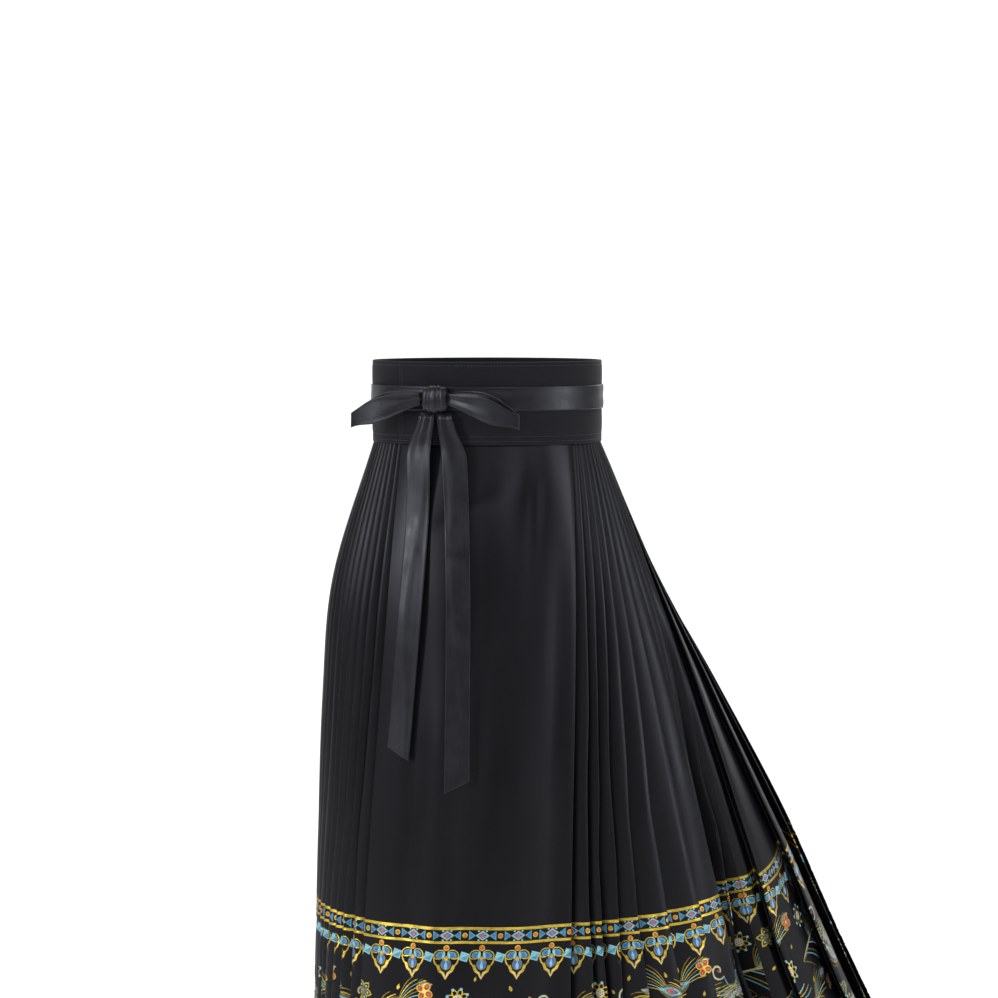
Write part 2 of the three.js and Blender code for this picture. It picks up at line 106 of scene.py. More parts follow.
FIGURE = {
    "drop": [0, 150, 280, 435, 605, 910],
    "frontX": [0, -5, -12, -21, -29, -38],
    "frontY": [-97, -119, -127, -134, -140, -150],
    "leftX": [125, 190, 262, 348, 432, 590],
    "leftY": [0, 42, 108, 186, 270, 420],
    "backX": [0, 16, 52, 97, 140, 205],
    "backY": [97, 146, 217, 305, 400, 570],
    "rightX": [-125, -171, -183, -189, -194, -204],
    "rightY": [0, 6, 16, 28, 40, 62],
}
PLEAT_FORM = {
    "drop": [0, 150, 450, 910],
    "layer": [2.0, 2.4, 3.4, 4.6],
    "depth": [7.6, 9.5, 17, 27],
    "under": [0.68, 0.68, 0.62, 0.55],
    "lap": [2.2, 3.4, 5, 6],
}
PLEAT_WIDTHS = {
    "leftFront": [25, 17, 22, 30, 42, 51, 52, 27, 19, 16, 15],
    "leftBack": [46, 44, 50, 42, 48, 44, 52, 50, 62, 92, 14],
    "rightFront": [26, 17, 20, 22, 18, 21, 24, 19, 22, 20, 11],
    "rightBack": [40, 34, 38, 42, 36, 40, 34, 39, 36, 34, 18],
}
FRONT_SHARE = {"left": (0.5, 0.385), "right": (0.5, 0.33)}


def rows(columns, values):
    """A table's rows as dictionaries with the named columns."""
    return [dict(zip(columns.split(), row)) for row in values]


# Broad hollows between groups of pleats: the pleat that each is centred on, and its size.
TROUGHS = rows("side half pleat spread depth starts", [
    ("left", "first", 8.8, 36, 92, 120), ("left", "second", 5.5, 60, 30, 200),
    ("right", "first", 6.5, 46, 24, 200),
])


def table_at(table, drop, column):
    """A size at one level, on a smooth curve through the table's values."""
    drops, values = table["drop"], table[column]
    last = len(drops) - 1

    def slope(i):
        a, b = max(i - 1, 0), min(i + 1, last)
        return (values[b] - values[a]) / (drops[b] - drops[a])

    at = min(max(drop, drops[0]), drops[last])
    i = 0
    while i < last - 1 and at > drops[i + 1]:
        i += 1
    span = drops[i + 1] - drops[i]
    t = (at - drops[i]) / span
    start = (1 + 2 * t) * (1 - t) ** 2 * values[i]
    end = t * t * (3 - 2 * t) * values[i + 1]
    bend = t * (1 - t) ** 2 * slope(i) - t * t * (1 - t) * slope(i + 1)
    return start + end + bend * span


def ease(t):
    """A soft step from 0 to 1."""
    c = min(max(t, 0), 1)
    return c * c * (3 - 2 * c)

# %% The outline at one level, and where the folds lie on it
STEPS_PER_QUARTER = 96


def outline_at(drop):
    spot = {name: (table_at(FIGURE, drop, name + "X"), table_at(FIGURE, drop, name + "Y"))
            for name in ("front", "left", "back", "right")}
    quarters = [("front", "left", True), ("left", "back", False),
                ("back", "right", True), ("right", "front", False)]
    turn = np.arange(STEPS_PER_QUARTER) / STEPS_PER_QUARTER * math.pi / 2
    quick, slow = np.sin(turn), 1 - np.cos(turn)
    points = []
    for first, second, across_first in quarters:
        (ax, ay), (bx, by) = spot[first], spot[second]
        p, q = (quick, slow) if across_first else (slow, quick)
        points.append(np.stack([ax + (bx - ax) * p, ay + (by - ay) * q], axis=1))
    points = np.concatenate(points)
    ahead = np.roll(points, -1, axis=0)
    behind = np.roll(points, 1, axis=0)
    run = np.concatenate([[0], np.cumsum(np.linalg.norm(ahead - points, axis=1))])
    tangent = ahead - behind
    tangent /= np.linalg.norm(tangent, axis=1)[:, None]
    normals = np.stack([tangent[:, 1], -tangent[:, 0]], axis=1)
    closed = np.concatenate([points, points[:1]])
    closed_normals = np.concatenate([normals, normals[:1]])
    return {"points": closed, "normals": closed_normals, "run": run, "length": run[-1],
            "back": run[2 * STEPS_PER_QUARTER]}


def on_outline(outline, places):
    """Points on the outline and the directions out of it, at the given lengths round it."""
    s = np.mod(places, outline["length"])
    spot, normal = (np.stack([np.interp(s, outline["run"], outline[name][:, k]) for k in (0, 1)],
                             axis=-1) for name in ("points", "normals"))
    normal /= np.linalg.norm(normal, axis=-1, keepdims=True)
    return spot, normal


def face_width_at(drop):
    return FACE_WIDTH_TOP + (FACE_WIDTH_HEM - FACE_WIDTH_TOP) * min(max(drop / CLOTH_LENGTH, 0), 1)


def fold_places(side, outline, drop):
    """Where the outer folds of one side lie on the outline, counted from the middle front."""
    half = face_width_at(drop) / 2
    start = half if side == "left" else outline["back"] + half
    end = (outline["back"] if side == "left" else outline["length"]) - half
    spread = ease(drop / EVEN_AT_WAIST_DROP)
    at_waist, at_hem = FRONT_SHARE[side]
    share = at_waist + (at_hem - at_waist) * spread
    middle = start + (end - start) * (share if side == "left" else 1 - share)

    def places(origin, to, widths):
        even = 1 / (PLEATS_PER_HALF + 0.5)
        total = sum(widths)
        out, so_far = [origin], 0
        for width in widths[:PLEATS_PER_HALF]:
            so_far += even + (width / total - even) * spread
            out.append(origin + (to - origin) * so_far)
        return out

    names = ("leftFront", "leftBack") if side == "left" else ("rightBack", "rightFront")
    return {"start": start, "end": end, "middle": middle,
            "first": places(start, middle, PLEAT_WIDTHS[names[0]]),
            "second": places(end, middle, PLEAT_WIDTHS[names[1]])}


def trough_depth(side, folds, drop, places):
    depth = np.zeros_like(places)
    for trough in TROUGHS:
        if trough["side"] != side:
            continue
        marks = folds[trough["half"]]
        index = int(trough["pleat"])
        following = marks[index + 1] if index + 1 < len(marks) else folds["middle"]
        centre = marks[index] + (following - marks[index]) * (trough["pleat"] - index)
        growth = ease((drop - trough["starts"]) / (CLOTH_LENGTH - trough["starts"]) * 1.25)
        away = (places - centre) / (trough["spread"] * (0.35 + 0.65 * growth))
        depth += trough["depth"] * growth * np.exp(-away * away)
    return depth


LEVEL_COUNT = 62


def levels_of(side):
    levels = []
    for i in range(LEVEL_COUNT):
        drop = i / (LEVEL_COUNT - 1) * CLOTH_LENGTH
        outline = outline_at(drop)
        folds = fold_places(side, outline, drop)
        other = fold_places("right" if side == "left" else "left", outline, drop)
        form = {name: table_at(PLEAT_FORM, drop, name)
                for name in ("layer", "depth", "under", "lap")}
        knots = np.array(folds["first"] + [folds["middle"]] + folds["second"][::-1])
        levels.append({"drop": drop, "outline": outline, "folds": folds, "form": form,
                       "width": face_width_at(drop), "knots": knots,
                       "troughs": trough_depth(side, folds, drop, knots),
                       "other_under": (other["first"][1] - other["first"][0]) * form["under"]})
    return levels


SIDES = {side: levels_of(side) for side in ("left", "right")}
DROPS = np.linspace(0, CLOTH_LENGTH, LEVEL_COUNT)
print("outline at the hem:", round(SIDES["left"][-1]["outline"]["length"]), "mm round")

# %% [markdown]
# ## Columns of points across a cross-section
#
# A pleat is drawn as columns that run down the cloth. Each column has, at every level, a place
# along the outline and a distance in from it. A strip is nearly flat with a slight bow. The
# fold at its edge is a half circle of about a millimetre, crisp as a pressed pleat is, and the
# cloth then runs back under to the next inner fold.

# %% Small irregularities that a pressed pleat keeps when it is worn
random.seed(20)
FOLD_THICKNESS = 2.2
STRIP_BOW = 1.3
WOBBLE_SIZE = 2.4
STRIP_BENDS = {
    ("left", "first"): rows("strip middle reach rise", [
        (1, 420, 130, 1.6), (3, 640, 110, 2.2), (4, 330, 150, 1.4), (5, 560, 160, 2.6),
        (6, 700, 120, 2.4), (7, 440, 170, 2.0), (8, 620, 140, 2.2),
    ]),
    ("left", "second"): rows("strip middle reach rise", [
        (2, 540, 150, 2.4), (4, 380, 170, 1.8), (5, 700, 130, 2.6), (7, 520, 160, 2.2),
        (9, 640, 150, 2.8),
    ]),
    ("right", "first"): rows("strip middle reach rise", [
        (2, 620, 140, 2.0), (3, 340, 160, 1.5), (6, 560, 150, 2.3), (8, 700, 120, 1.9),
    ]),
    ("right", "second"): rows("strip middle reach rise", [
        (1, 500, 130, 1.7), (4, 640, 140, 1.9), (6, 380, 150, 1.3), (9, 600, 130, 1.6),
    ]),
}


def soft_bend(side, half, strip):
    """Where a strip of a pleat puffs out a little, as rows of the table above."""
    return sum(bend["rise"] * np.exp(-((DROPS - bend["middle"]) / bend["reach"]) ** 2)
               for bend in STRIP_BENDS[side, half] if bend["strip"] == strip)


def fold_wobble(drops):
    """A fold's edge wanders sideways by a few millimetres, more towards the hem."""
    wave_length = random.uniform(230, 420)
    phase = random.uniform(0, 2 * math.pi)
    second_phase = random.uniform(0, 2 * math.pi)
    slow = np.sin(2 * math.pi * drops / wave_length + phase)
    quick = np.sin(2 * math.pi * drops / (wave_length * 0.43) + second_phase)
    growth = np.clip(drops / 500, 0, 1) ** 1.5
    return WOBBLE_SIZE * growth * (0.75 * slow + 0.3 * quick)


def form_over(side, name):
    return np.array([level["form"][name] for level in SIDES[side]])


def fold_tracks(side, half):
    """Places of the outer folds 0 to 10 and of the middle of the side, at every level."""
    tracks = [np.array([level["folds"][half][i] for level in SIDES[side]])
              for i in range(PLEATS_PER_HALF + 1)]
    tracks.append(np.array([level["folds"]["middle"] for level in SIDES[side]]))
    return tracks


def sink_of(side, half, index):
    if half == "first":
        return np.zeros(LEVEL_COUNT)
    return form_over(side, "lap") * max(1 - index / 2, 0)


def inner_fold(side, tracks, index):
    following = tracks[index] if index <= PLEATS_PER_HALF else 2 * tracks[-1] - tracks[index - 1]
    own = following - tracks[index - 1]
    before = tracks[index - 1] - tracks[index - 2] if index > 1 else own
    reach = np.minimum(np.abs(own), np.abs(before)) * form_over(side, "under")
    return tracks[index - 1] - np.sign(own) * reach

# %% The columns of one strip, its outer fold and the layer that runs back under it
def fold_columns(side, edge, sink, sign):
    """The half circle at an outer fold, from the face of the cloth to its underside."""
    thick = np.minimum(form_over(side, "layer"), FOLD_THICKNESS)
    radius = thick / 2
    columns = []
    for turn in (0, 45, 90, 135, 180):
        angle = math.radians(turn)
        place = edge - sign * radius + sign * radius * math.sin(angle)
        columns.append((place, sink + radius * (1 - math.cos(angle)),
                        "apex" if turn == 90 else "fold"))
    return columns


def pleat_columns(side, half):
    sign = 1 if half == "first" else -1
    tracks = fold_tracks(side, half)
    depth, layer = form_over(side, "depth"), form_over(side, "layer")
    wobbles = [fold_wobble(DROPS) for _ in range(PLEATS_PER_HALF + 1)] + [np.zeros(LEVEL_COUNT)]
    wobbles[0] = np.zeros(LEVEL_COUNT)
    columns = []
    for i in range(1, PLEATS_PER_HALF + 2):
        last = i == PLEATS_PER_HALF + 1
        inner = inner_fold(side, tracks, i) + 0.5 * wobbles[i - 1]
        outer = tracks[i] + wobbles[i]
        deep = depth + sink_of(side, half, i - 1)
        shallow = depth * 0.6 if last else sink_of(side, half, i)
        edge_before = tracks[i - 1] + wobbles[i - 1]
        end = outer - sign * SEAM_GAP / 2 if last else outer - sign * FOLD_THICKNESS / 2
        emerging = np.clip((edge_before - inner) / (end - inner), 0.2, 0.6)
        bow = random.uniform(0.7, 1.0) * STRIP_BOW + soft_bend(side, half, i)
        for share in (0, 0.5, 1):
            t = emerging * share
            columns.append((inner + (end - inner) * t, deep + (shallow - deep) * t, ("strip", i)))
        for share in (0.2, 0.4, 0.6, 0.8):
            t = emerging + (1 - emerging) * share
            rise = bow * math.sin(math.pi * share)
            columns.append((inner + (end - inner) * t, deep + (shallow - deep) * t - rise,
                            ("strip", i)))
        if last:
            columns.append((end, shallow, ("strip", i)))
            break
        fold = fold_columns(side, outer, sink_of(side, half, i), sign)
        columns += [(place, inward, (kind, i)) for place, inward, kind in fold]
        following = inner_fold(side, tracks, i + 1) + 0.5 * wobbles[i]
        back_start, back_end = fold[-1], depth + sink_of(side, half, i) - layer
        for share in (0.33, 0.66):
            columns.append((back_start[0] + (following - back_start[0]) * share,
                            back_start[1] + (back_end - back_start[1]) * share, ("under", i)))
        for turn in (0, 60, 120):
            angle = math.radians(turn)
            columns.append((following - sign * layer / 2 * math.sin(angle),
                            back_end + layer / 2 * (1 - math.cos(angle)), ("inner", i)))
    return columns if sign > 0 else columns[::-1]


print("columns in one half of a side:", len(pleat_columns("left", "first")))

# %% The columns of a face, from its free edge to the inner fold under the first pleat
FACE_COLUMNS = 34


def face_columns(side, half):
    over = half == "first"
    sign = 1 if over else -1
    tracks = fold_tracks(side, half)
    layer, depth, lap = (form_over(side, name) for name in ("layer", "depth", "lap"))
    width = np.array([level["width"] for level in SIDES[side]])
    other_under = np.array([level["other_under"] for level in SIDES[side]])
    reach = width if over else width - other_under - UNDER_FACE_EDGE_CLEARANCE
    inward = np.zeros(LEVEL_COUNT) if over else lap
    edge = tracks[0]
    columns = []
    for i in range(FACE_COLUMNS):
        share = i / FACE_COLUMNS
        away = reach * (1 - share) + FOLD_THICKNESS / 2 * share
        columns.append((edge - sign * away, inward, ("face", 0)))
    fold = fold_columns(side, edge, inward, sign)
    columns += [(place, depth_in, (kind, 0)) for place, depth_in, kind in fold]
    following = inner_fold(side, tracks, 1)
    back_end = depth + sink_of(side, half, 0) - layer
    for share in (0.5, 1):
        columns.append((fold[-1][0] + (following - fold[-1][0]) * share,
                        fold[-1][1] + (back_end - fold[-1][1]) * share, ("under", 0)))
    for turn in (60, 120, 164):
        angle = math.radians(turn)
        columns.append((following - sign * layer / 2 * math.sin(angle),
                        back_end + layer / 2 * (1 - math.cos(angle)), ("inner", 0)))
    return columns if sign > 0 else columns[::-1]

# %% [markdown]
# ## Soft creases
#
# Worn satin is never flat between its folds. These creases are shallow ridges and troughs that
# run down the cloth, each with its own place, length, width and depth. A ridge has a negative
# depth, because depth is measured inwards. They are uneven, as in the photo, and hidden sides
# have similar ones.

# %% A table of creases: how far across the piece, how they lean, where they start and end
CREASES = {
    "face_front_over": rows("across lean top foot width depth", [
        (0.16, 0.03, 60, 900, 16, 3.2), (0.31, 0.02, 180, 930, 22, -4.5),
        (0.47, -0.02, 30, 620, 17, 3.6), (0.62, 0.02, 240, 940, 25, -4.2),
        (0.8, 0.01, 90, 800, 15, 3.0), (0.7, -0.05, -60, 260, 11, 1.8),
    ]),
    "face_front_under": rows("across lean top foot width depth", [
        (0.3, 0.02, 120, 900, 24, 2.0), (0.7, 0.0, 200, 930, 20, 1.6),
    ]),
    "face_back_over": rows("across lean top foot width depth", [
        (0.2, -0.02, 80, 920, 18, 3.0), (0.42, 0.02, 160, 930, 24, -4.0),
        (0.66, -0.01, 40, 700, 17, 3.4), (0.84, 0.02, 240, 940, 20, -3.0),
    ]),
    "face_back_under": rows("across lean top foot width depth", [
        (0.4, 0.0, 160, 920, 22, 1.8),
    ]),
}
CREASE_FADE = 150


def crease_depth(creases, across, lengths, width):
    """Inward depth of all the creases, for every column and every length down the cloth."""
    total = np.zeros((len(across), len(lengths)))
    for crease in creases:
        fade_in = np.clip((lengths - crease["top"]) / CREASE_FADE, 0, 1)
        fade_out = np.clip((crease["foot"] - lengths) / CREASE_FADE, 0, 1)
        window = fade_in ** 2 * (3 - 2 * fade_in) * fade_out ** 2 * (3 - 2 * fade_out)
        centre = crease["across"] * width + crease["lean"] * (lengths - crease["top"])
        away = (across[:, None] - centre[None, :]) / crease["width"]
        total += crease["depth"] * window[None, :] * np.exp(-away * away)
    return total

# %% [markdown]
# ## From columns to a surface
#
# Each column is a path in space. Points are taken along it at equal lengths of cloth, so that
# the cloth is never stretched, and where it flares the hem lifts as real cloth does. The result
# is a grid with two cloth coordinates: u across and v down, both in millimetres.

# %% Rows of cloth, with extra rows where the border's lines will run
BORDER_TOP = 518
STRIP_HEIGHT = 18
LINE_WIDTH = 3
LOWER_STRIP_TOP = 878
ROW_STEP = 10
LINE_TOPS = [BORDER_TOP, BORDER_TOP + STRIP_HEIGHT - LINE_WIDTH,
             LOWER_STRIP_TOP, LOWER_STRIP_TOP + STRIP_HEIGHT - LINE_WIDTH]
row_marks = set(range(0, CLOTH_LENGTH + 1, ROW_STEP))
for line_top in LINE_TOPS:
    row_marks = {row for row in row_marks if not line_top - 2 < row < line_top + LINE_WIDTH + 2}
    row_marks |= {line_top, line_top + LINE_WIDTH}
HEM_LINE = CLOTH_LENGTH - 8
HEM_GROOVE = 0.4
HEM_EXTRA = 0.7
row_marks |= {HEM_LINE - 1, HEM_LINE, HEM_LINE + 1}
CLOTH_ROWS = np.array(sorted(row_marks), float)
print("rows of points down the cloth:", len(CLOTH_ROWS))


def unit(vectors):
    size = np.linalg.norm(vectors, axis=-1, keepdims=True)
    return vectors / np.maximum(size, 1e-9)


def grid_normals(points):
    """Normals out of the cloth, from the directions before and after each point."""
    into = np.concatenate([points[1:2] - points[0:1], points[1:] - points[:-1]])
    on = np.concatenate([points[1:] - points[:-1], points[-1:] - points[-2:-1]])
    across = unit(unit(into) + unit(on))
    down = np.gradient(points, axis=1)
    return unit(np.cross(unit(down), across))


def cloth_surface(side, columns, name):
    """The folded grid of one piece: its points, normals and lengths of cloth."""
    places = np.array([place for place, _, _ in columns])
    inward = np.array([depth for _, depth, _ in columns])
    tags = [tag for _, _, tag in columns]
    paths = np.zeros((len(columns), LEVEL_COUNT, 3))
    for k, level in enumerate(SIDES[side]):
        spot, normal = on_outline(level["outline"], places[:, k])
        trough = np.interp(places[:, k], level["knots"], level["troughs"])
        flat = spot - normal * (inward[:, k] + trough)[:, None]
        paths[:, k, :2] = flat
        paths[:, k, 2] = -BAND_HEIGHT / 2 - SEAM_GAP - level["drop"]
    steps = np.linalg.norm(np.diff(paths, axis=1), axis=2)
    run = np.concatenate([np.zeros((len(columns), 1)), np.cumsum(steps, axis=1)], axis=1)
    points = np.zeros((len(columns), len(CLOTH_ROWS), 3))
    for c in range(len(columns)):
        for axis in range(3):
            points[c, :, axis] = np.interp(CLOTH_ROWS, run[c], paths[c, :, axis])
    widths = np.linalg.norm(np.diff(points, axis=0), axis=2)
    true_run = np.concatenate([np.zeros((1, len(CLOTH_ROWS))), np.cumsum(widths, axis=0)])
    u = true_run[:, -1].copy()
    if name in CREASES:
        soft = crease_depth(CREASES[name], u, CLOTH_ROWS, u[-1])
        hold = np.array([tag[0] == "face" for tag in tags], float)
        kept = np.convolve(hold, np.ones(5) / 5, mode="same")
        points -= grid_normals(points) * (soft * kept[:, None])[:, :, None]
    hem = int(np.searchsorted(CLOTH_ROWS, HEM_LINE))
    points[:, hem] -= grid_normals(points)[:, hem] * HEM_GROOVE
    return {"points": points, "normals": grid_normals(points), "u": u, "true": true_run,
            "tags": tags, "name": name}

# %% [markdown]
# ## Materials
#
# The ground of the cloth is a black satin. Satin's long floating threads make it smooth one way,
# so it shines in soft grey-blue where it faces the light and goes nearly black where it turns
# away. The figures are extra wefts in other yarns: metallic gold, and dyed silk in blues,
# greens, orange and red. Each yarn is a material of its own, and each is built in the same way
# from a thread pattern laid along the cloth's two coordinates.

# %% One function turns hex colours to linear, one adds a node with its settings and links
def linear(code):
    values = [int(code[i:i + 2], 16) / 255 for i in (1, 3, 5)]
    return [v / 12.92 if v <= 0.04045 else ((v + 0.055) / 1.055) ** 2.4 for v in values] + [1]


def add_node(tree, kind, settings=None, inputs=None, stops=()):
    """Adds a node. Settings are its properties, and inputs are values or sockets to link from.
    Stops are the places and hex colours of a colour ramp, from its dark end on."""
    node = tree.nodes.new(kind)
    for name, value in (settings or {}).items():
        setattr(node, name, value)
    for k, (position, code) in enumerate(stops):
        node.color_ramp.elements[k].position = position
        node.color_ramp.elements[k].color = linear(code)
    for name, value in (inputs or {}).items():
        if isinstance(value, bpy.types.NodeSocket):
            tree.links.new(value, node.inputs[name])
        else:
            node.inputs[name].default_value = value
    return node


def new_material(name):
    material = bpy.data.materials.new(name)
    material.use_nodes = True
    tree = material.node_tree
    shader = tree.nodes["Principled BSDF"]
    return material, tree, shader


def set_inputs(shader, **values):
    for name, value in values.items():
        shader.inputs[name.replace("_", " ")].default_value = value


def weave_finish(tree, shader, stops, colour_from, raised_from, strength, distance):
    """Each weave ends so: its threads differ in colour, and stand up a little."""
    colour = add_node(tree, "ShaderNodeValToRGB", None, {"Fac": colour_from}, stops)
    tree.links.new(colour.outputs["Color"], shader.inputs["Base Color"])
    relief = add_node(tree, "ShaderNodeBump", None,
                      {"Height": raised_from, "Strength": strength, "Distance": distance})
    tree.links.new(relief.outputs["Normal"], shader.inputs["Normal"])

# %% The cloth's own coordinates, in millimetres, as a node
CLOTH_MAP = "cloth"
WAVE_BAND = 0.314        # a wave texture of scale 1 has a band every 0.314 units
DIAGONAL_BAND = 0.45     # the same, for slanting bands


def cloth_millimetres(tree):
    """The cloth map is stored in metres, so it is scaled to millimetres here."""
    uv = add_node(tree, "ShaderNodeUVMap", {"uv_map": CLOTH_MAP})
    return add_node(tree, "ShaderNodeVectorMath", {"operation": "SCALE"},
                    {"Vector": uv.outputs["UV"], "Scale": 1 / MM}).outputs["Vector"]

# %% [markdown]
# The satin's fine diagonal is its binding points. Real ones are about 0.3 mm apart, far too
# fine for a picture at 1.1 mm a pixel, so the diagonal is drawn at 2.2 mm and faintly. A
# stretched noise stands for the slight unevenness of hand: some bands of cloth were pressed
# harder and shine more.

# %% Black satin, woven and calendered smooth
TWILL_PITCH = 2.2


def black_satin():
    """Smooth to the eye: grey-blue and soft where it faces the light, and deep black elsewhere."""
    material, tree, shader = new_material("black_satin")
    place = cloth_millimetres(tree)
    twill = add_node(tree, "ShaderNodeTexWave", {"bands_direction": "DIAGONAL"},
                     {"Vector": place, "Scale": DIAGONAL_BAND / TWILL_PITCH, "Distortion": 0.6,
                      "Detail": 1.0, "Detail Scale": 2.0})
    drawn = add_node(tree, "ShaderNodeMapping", None, {"Vector": place, "Scale": (0.9, 0.05, 1)})
    threads = add_node(tree, "ShaderNodeTexNoise", None,
                       {"Vector": drawn.outputs["Vector"], "Scale": 1.0, "Detail": 3.0})
    broad = add_node(tree, "ShaderNodeMapping", None, {"Vector": place, "Scale": (0.02, 0.004, 1)})
    pressed = add_node(tree, "ShaderNodeTexNoise", None,
                       {"Vector": broad.outputs["Vector"], "Scale": 1.0, "Detail": 2.0})
    blend = add_node(tree, "ShaderNodeMix", {"data_type": "FLOAT"},
                     {"Factor": 0.5, "A": twill.outputs["Fac"], "B": threads.outputs["Fac"]})
    rough = add_node(tree, "ShaderNodeMapRange", None,
                     {"Value": pressed.outputs["Fac"], "From Min": 0.3, "From Max": 0.7,
                      "To Min": 0.30, "To Max": 0.46})
    tree.links.new(rough.outputs["Result"], shader.inputs["Roughness"])
    weave_finish(tree, shader, [(0.2, "#050507"), (0.8, "#101014")],
                 blend.outputs["Result"], blend.outputs["Result"], 0.22, 0.0003)
    set_inputs(shader, IOR=1.54, Sheen_Weight=0.02, Sheen_Roughness=0.4, Anisotropic=0.5,
               Specular_IOR_Level=0.2, Sheen_Tint=linear("#8a92b4"))
    return material

# %% [markdown]
# The figures are extra wefts that float on the satin. Two of the yarns are metallic foil wound
# round a core: they glint along each rib and go dark between the ribs. The others are dyed
# silk, with a soft sheen and clear colours. In all of them the colour is painted as well:
# lighter on each rib, a painted glint, and darker between the ribs, a painted shade, with a
# stretched noise on top for uneven tone along the threads. One function makes all eight,
# because only their colours and their share of metal differ. Real ribs are some 0.3 mm apart.
# They are drawn 1.3 mm apart, so that they can show.

# %% Yarns of the figures: dyed silk floats and metallic thread
RIB_PITCH = 1.3


def figure_yarn(name, dark, light, metallic, roughness):
    """Weft floats lie side by side across the cloth, so the ribs are level lines."""
    material, tree, shader = new_material(name)
    place = cloth_millimetres(tree)
    ribs = add_node(tree, "ShaderNodeTexWave", {"bands_direction": "Y"},
                    {"Vector": place, "Scale": WAVE_BAND / RIB_PITCH, "Distortion": 1.2,
                     "Detail": 1.0})
    drawn = add_node(tree, "ShaderNodeMapping", None, {"Vector": place, "Scale": (0.12, 0.35, 1)})
    uneven = add_node(tree, "ShaderNodeTexNoise", None,
                      {"Vector": drawn.outputs["Vector"], "Scale": 1.0, "Detail": 3.0})
    blend = add_node(tree, "ShaderNodeMix", {"data_type": "FLOAT"},
                     {"Factor": 0.62, "A": ribs.outputs["Fac"], "B": uneven.outputs["Fac"]})
    # The colour runs from dark to light with the ribs and the noise: painted shade between the
    # ribs, a painted glint on them, and uneven tone.
    weave_finish(tree, shader, [(0.28, dark), (0.72, light)],
                 blend.outputs["Result"], ribs.outputs["Fac"], 0.5, 0.0004)
    set_inputs(shader, Metallic=metallic, Roughness=roughness, Sheen_Weight=0.15 * (1 - metallic),
               Sheen_Roughness=0.4)
    return material


# Each yarn's dark and light colours are the ends of that range: partly the yarn's own uneven tone,
# partly painted shade between the ribs and a painted glint on them. The gold's range runs from its
# shaded olive to its lit yellow.
YARNS = {
    "gold_thread": ("#8a6a0a", "#f4d552", 0.75, 0.34),
    "olive_gold_thread": ("#5a4b10", "#a99135", 0.6, 0.42),
    "cream_silk": ("#c9b67e", "#f4ecc6", 0.1, 0.45),
    "blue_silk": ("#1b4384", "#4888d2", 0.0, 0.42),
    "teal_silk": ("#2b6f7f", "#63b3c0", 0.0, 0.42),
    "aqua_silk": ("#5ea6b4", "#acdce1", 0.0, 0.42),
    "orange_silk": ("#a8461a", "#ee7c34", 0.0, 0.42),
    "red_silk": ("#7d1720", "#cc2f30", 0.0, 0.42),
}
SATIN = black_satin()
CLOTH_MATERIALS = [SATIN] + [figure_yarn(name, *values) for name, values in YARNS.items()]
COLOUR_INDEX = {name: i + 1 for i, name in enumerate(YARNS)}
COLOUR_INDEX["satin"] = 0

# %% [markdown]
# On the back of a brocade the wefts that a figure doesn't use lie loose, from one side to the
# other. They are dull and slightly fuzzy, so the inside of the skirt looks greyer and flatter
# than its face. A noise that is stretched across the cloth gives that web. Real floats could
# be modelled, but at this distance they wouldn't show.

# %% The back of the brocade, where the unused wefts lie as a dull web
def brocade_back():
    material, tree, shader = new_material("brocade_back")
    drawn = add_node(tree, "ShaderNodeMapping", None,
                     {"Vector": cloth_millimetres(tree), "Scale": (0.02, 1.1, 1)})
    web = add_node(tree, "ShaderNodeTexNoise", None,
                   {"Vector": drawn.outputs["Vector"], "Scale": 1.0, "Detail": 4.0})
    weave_finish(tree, shader, [(0.35, "#0f0f13"), (0.7, "#2a2a2e")],
                 web.outputs["Fac"], web.outputs["Fac"], 0.4, 0.0004)
    set_inputs(shader, Roughness=0.7, Sheen_Weight=0.2, Sheen_Roughness=0.5)
    return material


CLOTH_MATERIALS.append(brocade_back())
BACK_INDEX = len(CLOTH_MATERIALS) - 1
print("materials of the cloth:", [m.name for m in CLOTH_MATERIALS])

# %% [markdown]
# ## The woven figures
#
# The border is drawn with formulas as flat shapes, in true millimetres: x across and y down the
# cloth. A shape is a list of outlines with a yarn, laid from the ground up, so a later one
# covers an earlier one. Outlines in gold are made as a weaver would: a gold shape with a
# smaller one on top.

# %% Basic shapes
def oval(x, y, across, down, yarn, turn=0.0, count=14):
    angles = np.arange(count) / count * 2 * math.pi
    flat = np.stack([across * np.cos(angles), down * np.sin(angles)], axis=1)
    c, s = math.cos(turn), math.sin(turn)
    return [(flat @ np.array([[c, s], [-s, c]]) + (x, y), yarn)]


def corners(points, yarn):
    return [(np.array(points, float), yarn)]


def leaf(base, tip, width, yarn, fullest=0.4, count=7):
    """A pointed shape from base to tip, widest at the given share of its length."""
    base, tip = np.array(base, float), np.array(tip, float)
    along = tip - base
    side = np.array([-along[1], along[0]]) / np.linalg.norm(along)
    t = np.arange(1, count) / count
    swell = np.where(t < fullest, np.sin(t / fullest * math.pi / 2),
                     np.cos(np.maximum(t - fullest, 0) / (1 - fullest) * math.pi / 2))
    right = base + t[:, None] * along + (swell * width / 2)[:, None] * side
    left = base + t[:, None] * along - (swell * width / 2)[:, None] * side
    return [(np.concatenate([[base], right, [tip], left[::-1]]), yarn)]


